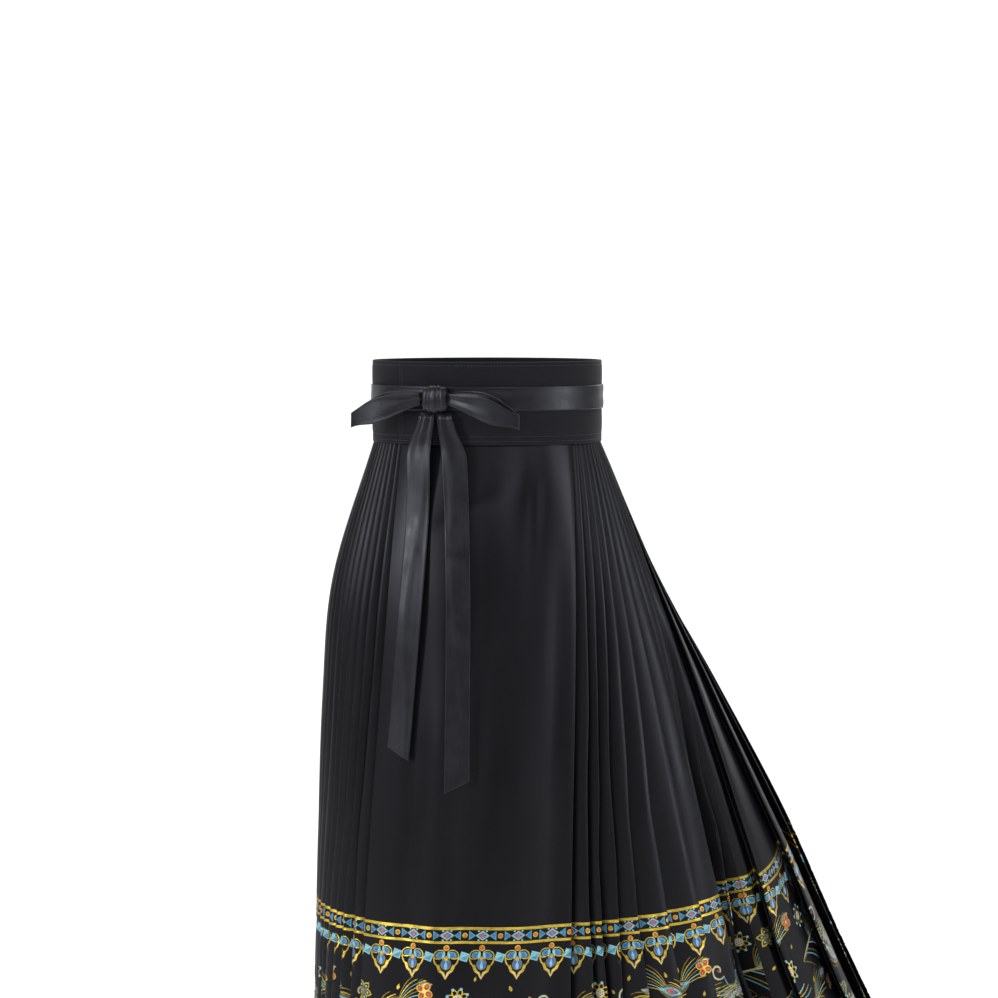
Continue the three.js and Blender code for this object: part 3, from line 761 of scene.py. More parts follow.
def stroke(points, width, yarn, taper=True):
    """A line of thread along the given points, thinner towards both ends."""
    points = np.array(points, float)
    ahead = np.gradient(points, axis=0)
    side = np.stack([-ahead[:, 1], ahead[:, 0]], axis=1)
    side /= np.linalg.norm(side, axis=1, keepdims=True)
    t = np.linspace(0, 1, len(points))
    fat = 0.35 + 0.65 * np.sin(math.pi * (0.12 + 0.76 * t)) if taper else np.ones_like(t)
    offset = side * (width / 2 * fat)[:, None]
    return [(np.concatenate([points + offset, (points - offset)[::-1]]), yarn)]


def bend(start, middle, end, count=9):
    """Points on a smooth curve with one bend."""
    t = np.linspace(0, 1, count)[:, None]
    start, middle, end = (np.array(p, float) for p in (start, middle, end))
    return (1 - t) ** 2 * start + 2 * t * (1 - t) * middle + t ** 2 * end


def spiral(x, y, radius, start, turns, count=16):
    t = np.linspace(0, 1, count)
    angle = start + turns * 2 * math.pi * t
    reach = radius * (1 - 0.72 * t)
    return np.stack([x + reach * np.cos(angle), y + reach * np.sin(angle)], axis=1)


def moved(shapes, x, y, turn=0.0, size=1.0, mirrored=False):
    c, s = math.cos(turn), math.sin(turn)
    out = []
    for points, yarn in shapes:
        flat = points * size
        if mirrored:
            flat = flat * (-1, 1)
        out.append((flat @ np.array([[c, s], [-s, c]]) + (x, y), yarn))
    return out

# %% The strip between two gold lines: jewels with gold beads between them
JEWEL_PERIOD = 38
STRIP_MIDDLE = STRIP_HEIGHT / 2


def lozenge(across, down, yarn):
    return corners([(-across, 0), (0, -down), (across, 0), (0, down)], yarn)


def jewel_unit():
    shapes = lozenge(8.2, 5.9, "olive_gold_thread") + lozenge(7.0, 5.0, "aqua_silk")
    shapes += lozenge(5.2, 3.7, "blue_silk") + oval(0, 0, 1.9, 2.3, "orange_silk", count=10)
    for side in (-1, 1):
        wedge = [(7.4, 0), (14.6, -5.2), (14.6, 5.2)]
        inner = [(9.4, 0), (13.4, -3.2), (13.4, 3.2)]
        shapes += corners([(side * x, y) for x, y in wedge], "teal_silk")
        shapes += corners([(side * x, y) for x, y in inner], "blue_silk")
        shapes += oval(side * 4.3, -4.9, 1.2, 0.9, "aqua_silk", count=8)
        shapes += oval(side * 4.3, 4.9, 1.2, 0.9, "aqua_silk", count=8)
    shapes += oval(19, 0, 2.9, 2.9, "gold_thread") + oval(19, 0, 1.9, 1.9, "orange_silk", count=10)
    return shapes

# %% The pendants below it: a bead, two scrolls, a blue drop and a gold point
def pendant_unit():
    shapes = []
    for side in (-1, 1):
        shapes += oval(side * 7.4, 11.5, 6.6, 5.0, "gold_thread", side * 0.5)
        shapes += oval(side * 7.4, 11.5, 5.4, 3.9, "satin", side * 0.5)
        shapes += oval(side * 7.0, 11.7, 4.5, 3.0, "teal_silk", side * 0.5)
        shapes += oval(side * 6.4, 11.9, 2.9, 1.8, "blue_silk", side * 0.5, count=10)
        shapes += leaf((side * 2, 8), (side * 3.6, 17), 3.0, "aqua_silk")
        hook = bend((side * 13.2, 14), (side * 12.5, 22), (side * 8.4, 23.5))
        shapes += stroke(hook, 1.7, "gold_thread")
    tip = [(-8.4, 23), (-6.2, 29), (-2.6, 31.5), (0, 37), (2.6, 31.5), (6.2, 29), (8.4, 23)]
    shapes += stroke(tip, 3.2, "gold_thread", taper=False) + stroke(tip[1:-1], 1.1, "cream_silk")
    shapes += oval(0, 22, 5.6, 6.2, "olive_gold_thread") + oval(0, 22, 4.7, 5.2, "blue_silk")
    shapes += leaf((0, 28), (0, 18.5), 3.4, "aqua_silk")
    shapes += leaf((0, 13), (0, 19), 4.4, "gold_thread")
    shapes += oval(0, 4.4, 3.2, 3.2, "gold_thread")
    shapes += oval(0, 4.4, 2.2, 2.2, "orange_silk", count=10)
    tile = corners([(-4.6, -4.6), (4.6, -4.6), (4.6, 4.6), (-4.6, 4.6)], "aqua_silk")
    tile += corners([(-3.4, -3.4), (3.4, -3.4), (3.4, 3.4), (-3.4, 3.4)], "teal_silk")
    tile += corners([(-3.4, -3.4), (3.4, -3.4), (-3.4, 3.4)], "aqua_silk")
    return shapes + moved(tile, JEWEL_PERIOD / 2, 14, 0.3)

# %% Flowers of the field
def rosette():
    shapes = []
    for k in range(8):
        turn = k * math.pi / 4
        x, y = math.cos(turn), math.sin(turn)
        shapes += oval(8.6 * x, 8.6 * y, 4.6, 3.5, "gold_thread", turn)
        shapes += oval(8.4 * x, 8.4 * y, 3.3, 2.3, "satin", turn, count=10)
        shapes += oval(13.2 * x, 13.2 * y, 1.9, 1.9, "aqua_silk", count=10)
    shapes += oval(0, 0, 6.6, 6.6, "gold_thread") + oval(0, 0, 5.4, 5.4, "cream_silk")
    for k in range(6):
        turn = k * math.pi / 3 + 0.3
        shapes += oval(3.2 * math.cos(turn), 3.2 * math.sin(turn), 1.1, 1.1, "blue_silk", count=8)
    shapes += oval(0, 0, 1.5, 1.5, "gold_thread", count=8)
    return shapes


def olive_rosette():
    shapes = []
    for k in range(6):
        turn = k * math.pi / 3
        x, y = math.cos(turn), math.sin(turn)
        shapes += leaf((3 * x, 3 * y), (14 * x, 14 * y), 8.4, "gold_thread")
        shapes += leaf((4 * x, 4 * y), (11.6 * x, 11.6 * y), 5.4, "satin")
        shapes += oval(7.4 * x, 7.4 * y, 1.5, 1.5, "aqua_silk", count=8)
    shapes += oval(0, 0, 5.0, 5.0, "olive_gold_thread")
    shapes += oval(0, 0, 2.6, 2.6, "teal_silk", count=10)
    shapes += oval(0, 0, 1.3, 1.3, "red_silk", count=8)
    return shapes


def quatrefoil():
    shapes = []
    for k in range(4):
        turn = k * math.pi / 2 + 0.5
        x, y = 5.4 * math.cos(turn), 5.4 * math.sin(turn)
        shapes += oval(x, y, 4.6, 4.1, "gold_thread", turn) + oval(x, y, 3.2, 2.7, "red_silk", turn)
        shapes += oval(x * 1.1, y * 1.1, 1.7, 1.4, "orange_silk", turn, count=8)
    shapes += oval(0, 0, 2.3, 2.3, "gold_thread", count=10)
    return shapes + oval(0, 0, 1.1, 1.1, "cream_silk", count=8)

# %% Feathers of the field
def feather_eye():
    """A feather's eye, 40 mm long, from its stem at (0, 0) to its tip at (40, 0)."""
    shapes = leaf((0, 0), (43, 0), 18.5, "olive_gold_thread", fullest=0.55)
    shapes += leaf((3, 0), (41, 0), 15.4, "satin", fullest=0.55)
    shapes += leaf((4, 0), (40, 0), 13.2, "teal_silk", fullest=0.55)
    shapes += leaf((9, 0), (34, 0), 9.6, "gold_thread", fullest=0.6)
    shapes += leaf((11, 0), (32, 0), 8.0, "blue_silk", fullest=0.6)
    shapes += oval(23.5, 0, 4.4, 2.9, "orange_silk") + oval(22.5, 0, 2.1, 1.5, "red_silk", count=8)
    shapes += leaf((33, 0), (42, 0), 3.8, "aqua_silk", fullest=0.3)
    for side in (-1, 1):
        shapes += stroke(bend((2, 0), (12, side * 12.5), (29, side * 11.5)), 1.5, "gold_thread")
        outer = bend((-3, 0), (9, side * 16.5), (22, side * 16.5))
        shapes += stroke(outer, 1.2, "olive_gold_thread")
    return shapes


PLUME_BARBS = rows("at reach yarn width", [
    (0.06, 34, "olive_gold_thread", 1.5), (0.16, 42, "teal_silk", 1.9),
    (0.26, 38, "gold_thread", 1.6), (0.37, 44, "aqua_silk", 1.7),
    (0.48, 36, "olive_gold_thread", 1.5), (0.6, 34, "gold_thread", 1.5),
    (0.72, 26, "teal_silk", 1.7),
])


def plume():
    """A long feather that starts at (0, 0), bends and ends in an eye about 110 mm away."""
    stem = bend((0, 0), (42, -30), (92, -12), 15)
    shapes = []
    for barb in PLUME_BARBS:
        k = int(barb["at"] * (len(stem) - 1))
        root = stem[k]
        for side in (-1, 1):
            middle = root + (barb["reach"] * 0.62, side * barb["reach"] * 0.16)
            tip = root + (barb["reach"], side * barb["reach"] * 0.52)
            shapes += stroke(bend(root, middle, tip), barb["width"], barb["yarn"])
    shapes += stroke(stem, 2.6, "gold_thread") + stroke(stem[1:-1], 1.0, "cream_silk")
    shapes += moved(feather_eye(), 88, -13, 0.30)
    return shapes


SHEAF_YARNS = ["olive_gold_thread", "gold_thread", "teal_silk", "gold_thread", "olive_gold_thread",
               "aqua_silk", "gold_thread"]


def sheaf():
    """A bundle of fine barbs that sweeps over to one side, with a small eye at its end."""
    shapes = []
    for k, yarn in enumerate(SHEAF_YARNS):
        spread = k - 3
        start, middle = (0, spread * 1.3), (20, spread * 4.2 - 13)
        tip = (54 - abs(spread) * 4, spread * 6.6 - 5)
        shapes += stroke(bend(start, middle, tip, 8), 1.35, yarn)
    return shapes + moved(feather_eye(), 40, -9, 0.35, 0.6)


def curl():
    shapes = stroke(spiral(0, 0, 13, 0.4, 1.0, 18), 3.2, "gold_thread")
    shapes += stroke(spiral(0, 0, 13, 0.5, 0.95, 18), 1.5, "aqua_silk")
    shapes += stroke(bend((12, 5), (16, 16), (30, 20)), 1.8, "teal_silk")
    shapes += oval(0.5, -0.5, 2.3, 2.3, "red_silk", count=10)
    return shapes


def seed_drop():
    return leaf((0, -3.4), (0, 3.6), 3.6, "gold_thread", fullest=0.6, count=5)

# %% [markdown]
# ## Laying the border out on flat cloth
#
# The strip of jewels and its pendants repeat every 38 mm, and the field repeats every 240 mm,
# mirrored each second time as a loom's harness allows. The field's places are listed one by one,
# so that large feathers, flowers and small seeds balance.

# %% The field's motifs: what, how far across the repeat, how far down the cloth, turn and size
FIELD_PERIOD = 240
MOTIFS = {"plume": plume(), "eye": feather_eye(), "rosette": rosette(), "olive": olive_rosette(),
          "quatrefoil": quatrefoil(), "curl": curl(), "seed": seed_drop(), "sheaf": sheaf()}
FIELD = rows("motif x y turn size", [
    ("sheaf", 62, 604, -0.55, 0.72), ("sheaf", 232, 626, 0.4, 0.76),
    ("sheaf", 140, 628, -0.75, 0.7), ("sheaf", 206, 700, 0.5, 0.8), ("sheaf", 126, 828, 0.3, 0.75),
    ("sheaf", 226, 812, -0.5, 0.75), ("olive", 14, 596, 0.2, 0.95), ("eye", 38, 612, -0.35, 0.85),
    ("quatrefoil", 92, 588, 0.0, 1.05), ("plume", 100, 642, 0.12, 0.92),
    ("rosette", 128, 596, 0.3, 0.88), ("eye", 160, 606, 0.5, 0.9), ("curl", 222, 600, 0.4, 0.8),
    ("plume", 4, 676, 0.3, 0.95), ("rosette", 66, 640, 0.0, 0.98), ("eye", 196, 676, -0.9, 0.95),
    ("quatrefoil", 150, 692, 0.3, 0.95), ("curl", 22, 734, -0.3, 1.0),
    ("olive", 118, 716, 0.0, 1.0), ("plume", 150, 772, -0.25, 1.0), ("eye", 84, 764, 2.5, 0.9),
    ("rosette", 218, 724, 0.2, 0.9), ("plume", 20, 824, -0.18, 1.0), ("eye", 116, 800, 0.8, 0.85),
    ("quatrefoil", 176, 822, 0.1, 1.0), ("rosette", 10, 776, 0.1, 0.85),
    ("curl", 214, 838, 1.2, 0.85), ("olive", 136, 856, 0.3, 0.85), ("eye", 30, 862, -0.1, 0.8),
    ("sheaf", 188, 630, 0.1, 0.8), ("sheaf", 96, 690, -0.3, 0.85), ("sheaf", 164, 744, -0.4, 0.8),
    ("sheaf", 58, 746, 0.2, 0.85), ("sheaf", 166, 862, -0.2, 0.8), ("sheaf", 60, 868, -0.35, 0.75),
    ("seed", 86, 616, 0.4, 0.9), ("seed", 10, 634, 0.8, 0.9), ("seed", 146, 574, 0.2, 0.8),
    ("seed", 206, 596, -0.7, 0.9), ("seed", 44, 660, -0.5, 0.9), ("seed", 132, 752, 0.5, 1.0),
    ("seed", 30, 704, -0.2, 0.9), ("seed", 236, 700, 0.7, 1.0), ("seed", 152, 816, -0.4, 0.9),
    ("seed", 60, 586, 0.3, 1.0), ("seed", 184, 584, -0.4, 1.0), ("seed", 108, 668, 0.6, 1.1),
    ("seed", 232, 650, -0.2, 1.0), ("seed", 70, 712, 0.1, 1.2), ("seed", 180, 740, 0.9, 1.0),
    ("seed", 52, 786, -0.6, 1.1), ("seed", 206, 792, 0.3, 1.0), ("seed", 92, 850, 0.2, 1.1),
    ("seed", 232, 868, -0.3, 1.0),
])


def repeats(first, last, margin, period):
    """The numbers of the repeats that touch the cloth from first to last."""
    return range(math.floor((first - margin) / period), math.ceil((last + margin) / period) + 1)


def border_between(first, last):
    """All shapes whose repeat touches the cloth from first to last, in millimetres across."""
    shapes = []
    for k in repeats(first, last, 20, JEWEL_PERIOD):
        x = k * JEWEL_PERIOD
        shapes += moved(jewel_unit(), x, BORDER_TOP + STRIP_MIDDLE)
        shapes += moved(pendant_unit(), x, BORDER_TOP + STRIP_HEIGHT)
        shapes += moved(jewel_unit(), x, LOWER_STRIP_TOP + STRIP_MIDDLE)
    for k in repeats(first, last, 60, FIELD_PERIOD):
        mirrored = k % 2 == 1
        for item in FIELD:
            x = k * FIELD_PERIOD + (FIELD_PERIOD - item["x"] if mirrored else item["x"])
            turn = -item["turn"] if mirrored else item["turn"]
            shapes += moved(MOTIFS[item["motif"]], x, item["y"], turn, item["size"], mirrored)
    return [(points, yarn) for points, yarn in shapes
            if points[:, 0].max() > first and points[:, 0].min() < last]


def clipped(points, low, high):
    """The part of an outline between two upright lines."""
    for limit, keep in ((low, 1), (high, -1)):
        if len(points) < 3:
            return points
        inside = (points[:, 0] - limit) * keep >= 0
        if inside.all():
            continue
        out = []
        for k in range(len(points)):
            a, b = points[k - 1], points[k]
            if inside[k - 1] != inside[k]:
                t = (limit - a[0]) / (b[0] - a[0])
                out.append((limit, a[1] + (b[1] - a[1]) * t))
            if inside[k]:
                out.append(tuple(b))
        points = np.array(out) if out else np.zeros((0, 2))
    return points


print("shapes in one repeat of the border:", len(border_between(0, FIELD_PERIOD)))

# %% [markdown]
# The pleats flare, so a strip is narrower at the border than at the hem, where its width is
# measured. Woven figures don't shrink with it. So each strip's figures keep their true width,
# counted from its outer fold, and are cut off where the strip dips under the next one.

# %% The stretches of a piece that show figures, each from an inner fold to its outer fold
def figured_stretches(surface):
    tags, u, true = surface["tags"], surface["u"], surface["true"]
    stretches = []
    strips = sorted({tag[1] for tag in tags if tag[0] == "strip"})
    for i in strips:
        members = [c for c, tag in enumerate(tags) if tag == ("strip", i) or tag == ("apex", i)]
        low, high = min(members), max(members)
        anchor = [c for c in members if tags[c][0] == "apex"]
        anchor = anchor[0] if anchor else (high if tags[low - 1][0] == "inner" else low)
        stretches.append((low, high, u[anchor]))
    faces = [c for c, tag in enumerate(tags) if tag[0] in ("face", "apex")]
    if any(tag[0] == "face" for tag in tags):
        low, high = min(faces), max(faces)
        stretches.append((low, high, (u[low] + u[high]) / 2))
    return [(u[low], u[high], anchor, (true[high] - true[low]) / (u[high] - u[low]))
            for low, high, anchor in stretches]


PLAIN_HEM = 4            # no figure crosses into the last millimetres above the hem


def woven_shapes(surface):
    """The border's outlines in the piece's own coordinates, and the four gold lines."""
    width = surface["u"][-1]
    shapes = []
    for low, high, anchor, scale in figured_stretches(surface):
        wide = (high - low) * scale.max() + 5
        for points, yarn in border_between(anchor - wide, anchor + wide):
            if points[:, 1].max() >= CLOTH_LENGTH - PLAIN_HEM:
                continue
            shrink = np.interp(points[:, 1], CLOTH_ROWS, scale)
            flat = np.stack([anchor + (points[:, 0] - anchor) / shrink, points[:, 1]], axis=1)
            flat = clipped(flat, low, high)
            if len(flat) > 2:
                shapes.append((flat, yarn))
    for top in LINE_TOPS:
        line = [(0, top), (width, top), (width, top + LINE_WIDTH), (0, top + LINE_WIDTH)]
        shapes.append((np.array(line, float), "gold_thread"))
    return shapes

# %% [markdown]
# ## Weaving the figures into the surface
#
# All outlines of a piece are laid into one flat triangulation, together with the grid's points,
# so the edge of each figure is a clean line of real edges. Each triangle takes the yarn of the
# topmost outline that holds its middle. Then the whole flat net is folded: every vertex moves
# to its place on the pleated surface. The back of the cloth is a plainer net, 0.9 mm behind,
# and a narrow rim joins the two.

# %% Find a flat point's place and normal on the folded grid
def on_surface(surface, flat):
    u, points = surface["u"], surface["points"]
    c = np.clip(np.searchsorted(u, flat[:, 0], side="right") - 1, 0, len(u) - 2)
    r = np.clip(np.searchsorted(CLOTH_ROWS, flat[:, 1], side="right") - 1, 0, len(CLOTH_ROWS) - 2)
    s = ((flat[:, 0] - u[c]) / (u[c + 1] - u[c]))[:, None]
    t = ((flat[:, 1] - CLOTH_ROWS[r]) / (CLOTH_ROWS[r + 1] - CLOTH_ROWS[r]))[:, None]

    def mix(grid):
        upper = grid[c, r] * (1 - s) + grid[c + 1, r] * s
        lower = grid[c, r + 1] * (1 - s) + grid[c + 1, r + 1] * s
        return upper * (1 - t) + lower * t

    true = mix(surface["true"][:, :, None])[:, 0]
    return mix(points), unit(mix(surface["normals"])), true


def triangulated(flat, outlines):
    edges, verts = [], [Vector(p) for p in flat]
    for outline in outlines:
        first, count = len(verts), len(outline)
        edges += [(first + k, first + (k + 1) % count) for k in range(count)]
        verts += [Vector(p) for p in outline]
    made = delaunay_2d_cdt(verts, edges, [], 0, 1e-4, True)
    return np.array([tuple(v) for v in made[0]]), made[2], made[3]


def yarn_indices(flat, tris, shapes):
    """The yarn of each triangle: that of the last outline which holds its middle."""
    middles = flat[np.array(tris)].mean(axis=1)
    order = np.argsort(middles[:, 0])
    across, down = middles[order, 0], middles[order, 1]
    indices = np.zeros(len(tris), np.int32)
    for outline, yarn in shapes:
        low, high = outline.min(axis=0), outline.max(axis=0)
        a, b = np.searchsorted(across, (low[0], high[0]))
        near = a + np.where((down[a:b] > low[1]) & (down[a:b] < high[1]))[0]
        if len(near) == 0:
            continue
        x, y = across[near][:, None], down[near][:, None]
        x0, y0 = outline[:, 0][None, :], outline[:, 1][None, :]
        x1, y1 = np.roll(outline[:, 0], -1)[None, :], np.roll(outline[:, 1], -1)[None, :]
        spans = (y0 > y) != (y1 > y)
        crossing = x0 + (y - y0) / np.where(y1 == y0, 1, y1 - y0) * (x1 - x0)
        inside = (spans & (x < crossing)).sum(axis=1) % 2 == 1
        indices[order[near[inside]]] = COLOUR_INDEX[yarn]
    return indices.tolist()

# %% Build one piece of cloth as a closed thin shell
def rim_order(flat, width):
    """Indices of the vertices on the piece's edge, in order round it."""
    tiny = 1e-3
    sides = [
        (np.abs(flat[:, 1]) < tiny, flat[:, 0]),
        (np.abs(flat[:, 0] - width) < tiny, width + flat[:, 1]),
        (np.abs(flat[:, 1] - CLOTH_LENGTH) < tiny, 2 * width + CLOTH_LENGTH - flat[:, 0]),
        (np.abs(flat[:, 0]) < tiny, 2 * width + 2 * CLOTH_LENGTH - flat[:, 1]),
    ]
    run = np.full(len(flat), -1.0)
    for on_side, distance in sides:
        fresh = on_side & (run < 0)
        run[fresh] = distance[fresh]
    members = np.where(run >= 0)[0]
    return members[np.argsort(run[members])]


def mesh_object(name, points, faces, indices, materials, corner_map, corner_normals=None):
    mesh = bpy.data.meshes.new(name)
    mesh.from_pydata((points * MM).tolist(), [], faces)
    for material in materials:
        mesh.materials.append(material)
    mesh.polygons.foreach_set("material_index", np.array(indices, np.int32))
    mesh.polygons.foreach_set("use_smooth", np.ones(len(faces), bool))
    layer = mesh.uv_layers.new(name=CLOTH_MAP)
    layer.data.foreach_set("uv", (corner_map * MM).astype(np.float32).ravel())
    if corner_normals is not None:
        mesh.normals_split_custom_set(corner_normals.tolist())
    mesh.update()
    piece = bpy.data.objects.new(name, mesh)
    bpy.context.scene.collection.objects.link(piece)
    return piece


def cloth_piece(surface, shapes):
    u, name = surface["u"], surface["name"]
    width = u[-1]
    around = np.array([(0, 0), (width, 0), (width, CLOTH_LENGTH), (0, CLOTH_LENGTH)], float)
    grid = np.array([(x, y) for x in u for y in CLOTH_ROWS])
    flat, tris, _ = triangulated(grid, [around] + [points for points, _ in shapes])
    front, normals, true = on_surface(surface, flat)
    indices = yarn_indices(flat, tris, shapes)

    rim = rim_order(flat, width)
    back_rows = [row for row in CLOTH_ROWS[3:-1:3] if row < HEM_LINE - 3]
    back_rows += [HEM_LINE - 1, HEM_LINE + 1]
    inside = np.array([(x, y) for x in u[1:-1] for y in back_rows])
    back_flat, back_tris, back_ids = triangulated(inside, [flat[rim]])
    behind, back_normals, back_true = on_surface(surface, back_flat)
    thickness = CLOTH_THICKNESS + HEM_EXTRA * (back_flat[:, 1] > HEM_LINE)
    behind = behind - back_normals * thickness[:, None]
    place = {}
    for k, ids in enumerate(back_ids):
        for old in ids:
            place[old] = k
    rim_back = [place[len(inside) + k] for k in range(len(rim))]

    shift = len(flat)
    faces = [tuple(reversed(tri)) for tri in tris]
    faces += [tuple(k + shift for k in tri) for tri in back_tris]
    indices += [BACK_INDEX] * len(back_tris)
    points = np.concatenate([front, behind])
    loops = [normals[np.array([k for face in faces[:len(tris)] for k in face])],
             -back_normals[np.array([k - shift for face in faces[len(tris):] for k in face])]]
    rim_faces, rim_normals = [], []
    for k in range(len(rim)):
        a, b = int(rim[k]), int(rim[(k + 1) % len(rim)])
        a_back, b_back = rim_back[k] + shift, rim_back[(k + 1) % len(rim)] + shift
        rim_faces.append((a, b, b_back, a_back))
        side = np.cross(points[b] - points[a], points[a_back] - points[a])
        rim_normals += [side / max(np.linalg.norm(side), 1e-9)] * 4
    faces += rim_faces
    indices += [BACK_INDEX] * len(rim_faces)
    loops.append(np.array(rim_normals))
    cloth_map = np.concatenate([np.stack([true, flat[:, 1]], axis=1),
                                np.stack([back_true, back_flat[:, 1]], axis=1)])
    owners = np.array([k for face in faces for k in face])
    piece = mesh_object(name + "_cloth", points, faces, indices, CLOTH_MATERIALS, cloth_map[owners],
                        np.concatenate(loops))
    print(name, "triangles:", len(tris) + len(back_tris) + 2 * len(rim_faces))
    return piece

# %% Weave all eight pieces of the two panels
NODES = {
    ("left", "first"): ("face_front_over", "pleats_left_front"),
    ("left", "second"): ("face_back_under", "pleats_left_back"),
    ("right", "first"): ("face_back_over", "pleats_right_back"),
    ("right", "second"): ("face_front_under", "pleats_right_front"),
}
SECOND_NODE = {"pleats_left_back": ["pleats_left_side"]}
for (side, half), (face_name, pleats_name) in NODES.items():
    makers = ((face_name, face_columns), (pleats_name, pleat_columns))
    for name, columns in [(name, make(side, half)) for name, make in makers]:
        surface = cloth_surface(side, columns, name)
        piece = cloth_piece(surface, woven_shapes(surface))
        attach(piece, "root")
        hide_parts(*([name] + SECOND_NODE.get(name, [])))

# %% [markdown]
# ## Waistband and ties
#
# The band is a strip of plain cotton folded in two: its top edge is a soft fold, and its foot
# holds the satin between two turned-in edges. The ties are satin ribbons. All of them are made
# as sweeps: a cross-section is drawn once and carried along a path. A beveled curve could do
# that too, but a sweep of points also lets each section change its width and wrinkle.

# %% [markdown]
# The band is cotton in plain weave. It is matte, because its short fibres scatter the light.
# Two wave patterns cross, one for each set of threads, and multiplied they make the grid of
# over and under. An image of cloth could do it too, but this pattern has no edge and no
# fixed size. Real yarns are about 0.4 mm apart. They are drawn four times as coarse, to show.

# %% Plain cotton of the band: an even over-and-under weave with a matte surface
YARN_PITCH = 1.6


def band_cotton():
    material, tree, shader = new_material("band_cotton")
    place = cloth_millimetres(tree)
    over = add_node(tree, "ShaderNodeMath", {"operation": "MULTIPLY"})
    for k, direction in enumerate("XY"):
        threads = add_node(tree, "ShaderNodeTexWave", {"bands_direction": direction},
                           {"Vector": place, "Scale": WAVE_BAND / YARN_PITCH, "Distortion": 0.8,
                            "Detail": 1.0})
        tree.links.new(threads.outputs["Fac"], over.inputs[k])
    drawn = add_node(tree, "ShaderNodeMapping", None, {"Vector": place, "Scale": (0.04, 0.5, 1)})
    slubs = add_node(tree, "ShaderNodeTexNoise", None,
                     {"Vector": drawn.outputs["Vector"], "Scale": 1.0, "Detail": 4.0})
    blend = add_node(tree, "ShaderNodeMix", {"data_type": "FLOAT"},
                     {"Factor": 0.5, "A": over.outputs["Value"], "B": slubs.outputs["Fac"]})
    weave_finish(tree, shader, [(0.15, "#0b0b0d"), (0.75, "#1b1b1f")],
                 blend.outputs["Result"], blend.outputs["Result"], 0.45, 0.0004)
    set_inputs(shader, IOR=1.5, Roughness=0.82, Sheen_Weight=0.05, Sheen_Roughness=0.5,
               Specular_IOR_Level=0.25)
    return material

# %% [markdown]
# The ties are satin ribbon, woven narrow with a selvedge on each side. Its floats run along
# its length, so its streaks do too, and each fold in it shows as a clear soft line of light.
# The seams are sewn in twisted polyester thread: it is a little glossier than the cotton, and
# its twist shows as fine slanting bands.

# %% Satin ribbon of the ties, with its floats along its length, and the sewing thread
def ribbon_satin():
    material, tree, shader = new_material("ribbon_satin")
    place = cloth_millimetres(tree)
    drawn = add_node(tree, "ShaderNodeMapping", None, {"Vector": place, "Scale": (0.06, 1.4, 1)})
    floats = add_node(tree, "ShaderNodeTexNoise", None,
                      {"Vector": drawn.outputs["Vector"], "Scale": 1.0, "Detail": 3.0})
    broad = add_node(tree, "ShaderNodeMapping", None, {"Vector": place, "Scale": (0.05, 0.05, 1)})
    worn = add_node(tree, "ShaderNodeTexNoise", None,
                    {"Vector": broad.outputs["Vector"], "Scale": 1.0, "Detail": 2.0})
    rough = add_node(tree, "ShaderNodeMapRange", None,
                     {"Value": worn.outputs["Fac"], "From Min": 0.3, "From Max": 0.7,
                      "To Min": 0.30, "To Max": 0.45})
    tree.links.new(rough.outputs["Result"], shader.inputs["Roughness"])
    weave_finish(tree, shader, [(0.3, "#08080a"), (0.7, "#17171c")],
                 floats.outputs["Fac"], floats.outputs["Fac"], 0.3, 0.0003)
    set_inputs(shader, IOR=1.54, Sheen_Weight=0.03, Sheen_Roughness=0.4, Anisotropic=0.4,
               Specular_IOR_Level=0.35)
    return material


def sewing_thread():
    material, tree, shader = new_material("sewing_thread")
    twist = add_node(tree, "ShaderNodeTexWave", {"bands_direction": "DIAGONAL"},
                     {"Vector": cloth_millimetres(tree), "Scale": 0.9})
    colour = add_node(tree, "ShaderNodeValToRGB", None, {"Fac": twist.outputs["Fac"]},
                      [(0.2, "#17171b"), (0.8, "#303038")])
    tree.links.new(colour.outputs["Color"], shader.inputs["Base Color"])
    set_inputs(shader, IOR=1.57, Roughness=0.45, Sheen_Weight=0.05)
    return material


BAND_MATERIALS = [band_cotton(), sewing_thread()]
TIE_MATERIALS = [ribbon_satin(), BAND_MATERIALS[1]]
print("materials of the band and ties:", [m.name for m in BAND_MATERIALS + TIE_MATERIALS[:1]])

# %% A sweep: quads between closed cross-sections, and a neat cap at each open end
def swept(sections, marks, ring=False):
    """sections is an array of sections by points; marks gives each point's place across."""
    count, around = sections.shape[:2]
    centres = sections.mean(axis=1)
    steps = np.linalg.norm(np.diff(np.concatenate([centres, centres[:1]]), axis=0), axis=1)
    run = np.concatenate([[0], np.cumsum(steps)])
    faces, maps = [], []
    for i in range(count if ring else count - 1):
        following = (i + 1) % count
        for j in range(around):
            nearby = (j + 1) % around
            faces.append((i * around + j, i * around + nearby, following * around + nearby,
                          following * around + j))
            maps += [(run[i], marks[j]), (run[i], marks[nearby]), (run[i + 1], marks[nearby]),
                     (run[i + 1], marks[j])]
    if not ring:
        for first, order in ((0, -1), ((count - 1) * around, 1)):
            for j in range(around // 2 - 1):
                quad = (j, j + 1, around - 2 - j, around - 1 - j)[::order]
                faces.append(tuple(first + k for k in quad))
                maps += [(first / around, marks[k]) for k in quad]
    return sections.reshape(-1, 3), faces, np.array(maps, float)


def turned_outward(points, faces):
    """Whether the faces of a closed form look outward, by the sign of its volume."""
    volume = 0.0
    for face in faces:
        a, b, c = points[face[0]], points[face[1]], points[face[2]]
        volume += np.dot(a, np.cross(b, c))
        if len(face) == 4:
            volume += np.dot(a, np.cross(c, points[face[3]]))
    return volume > 0


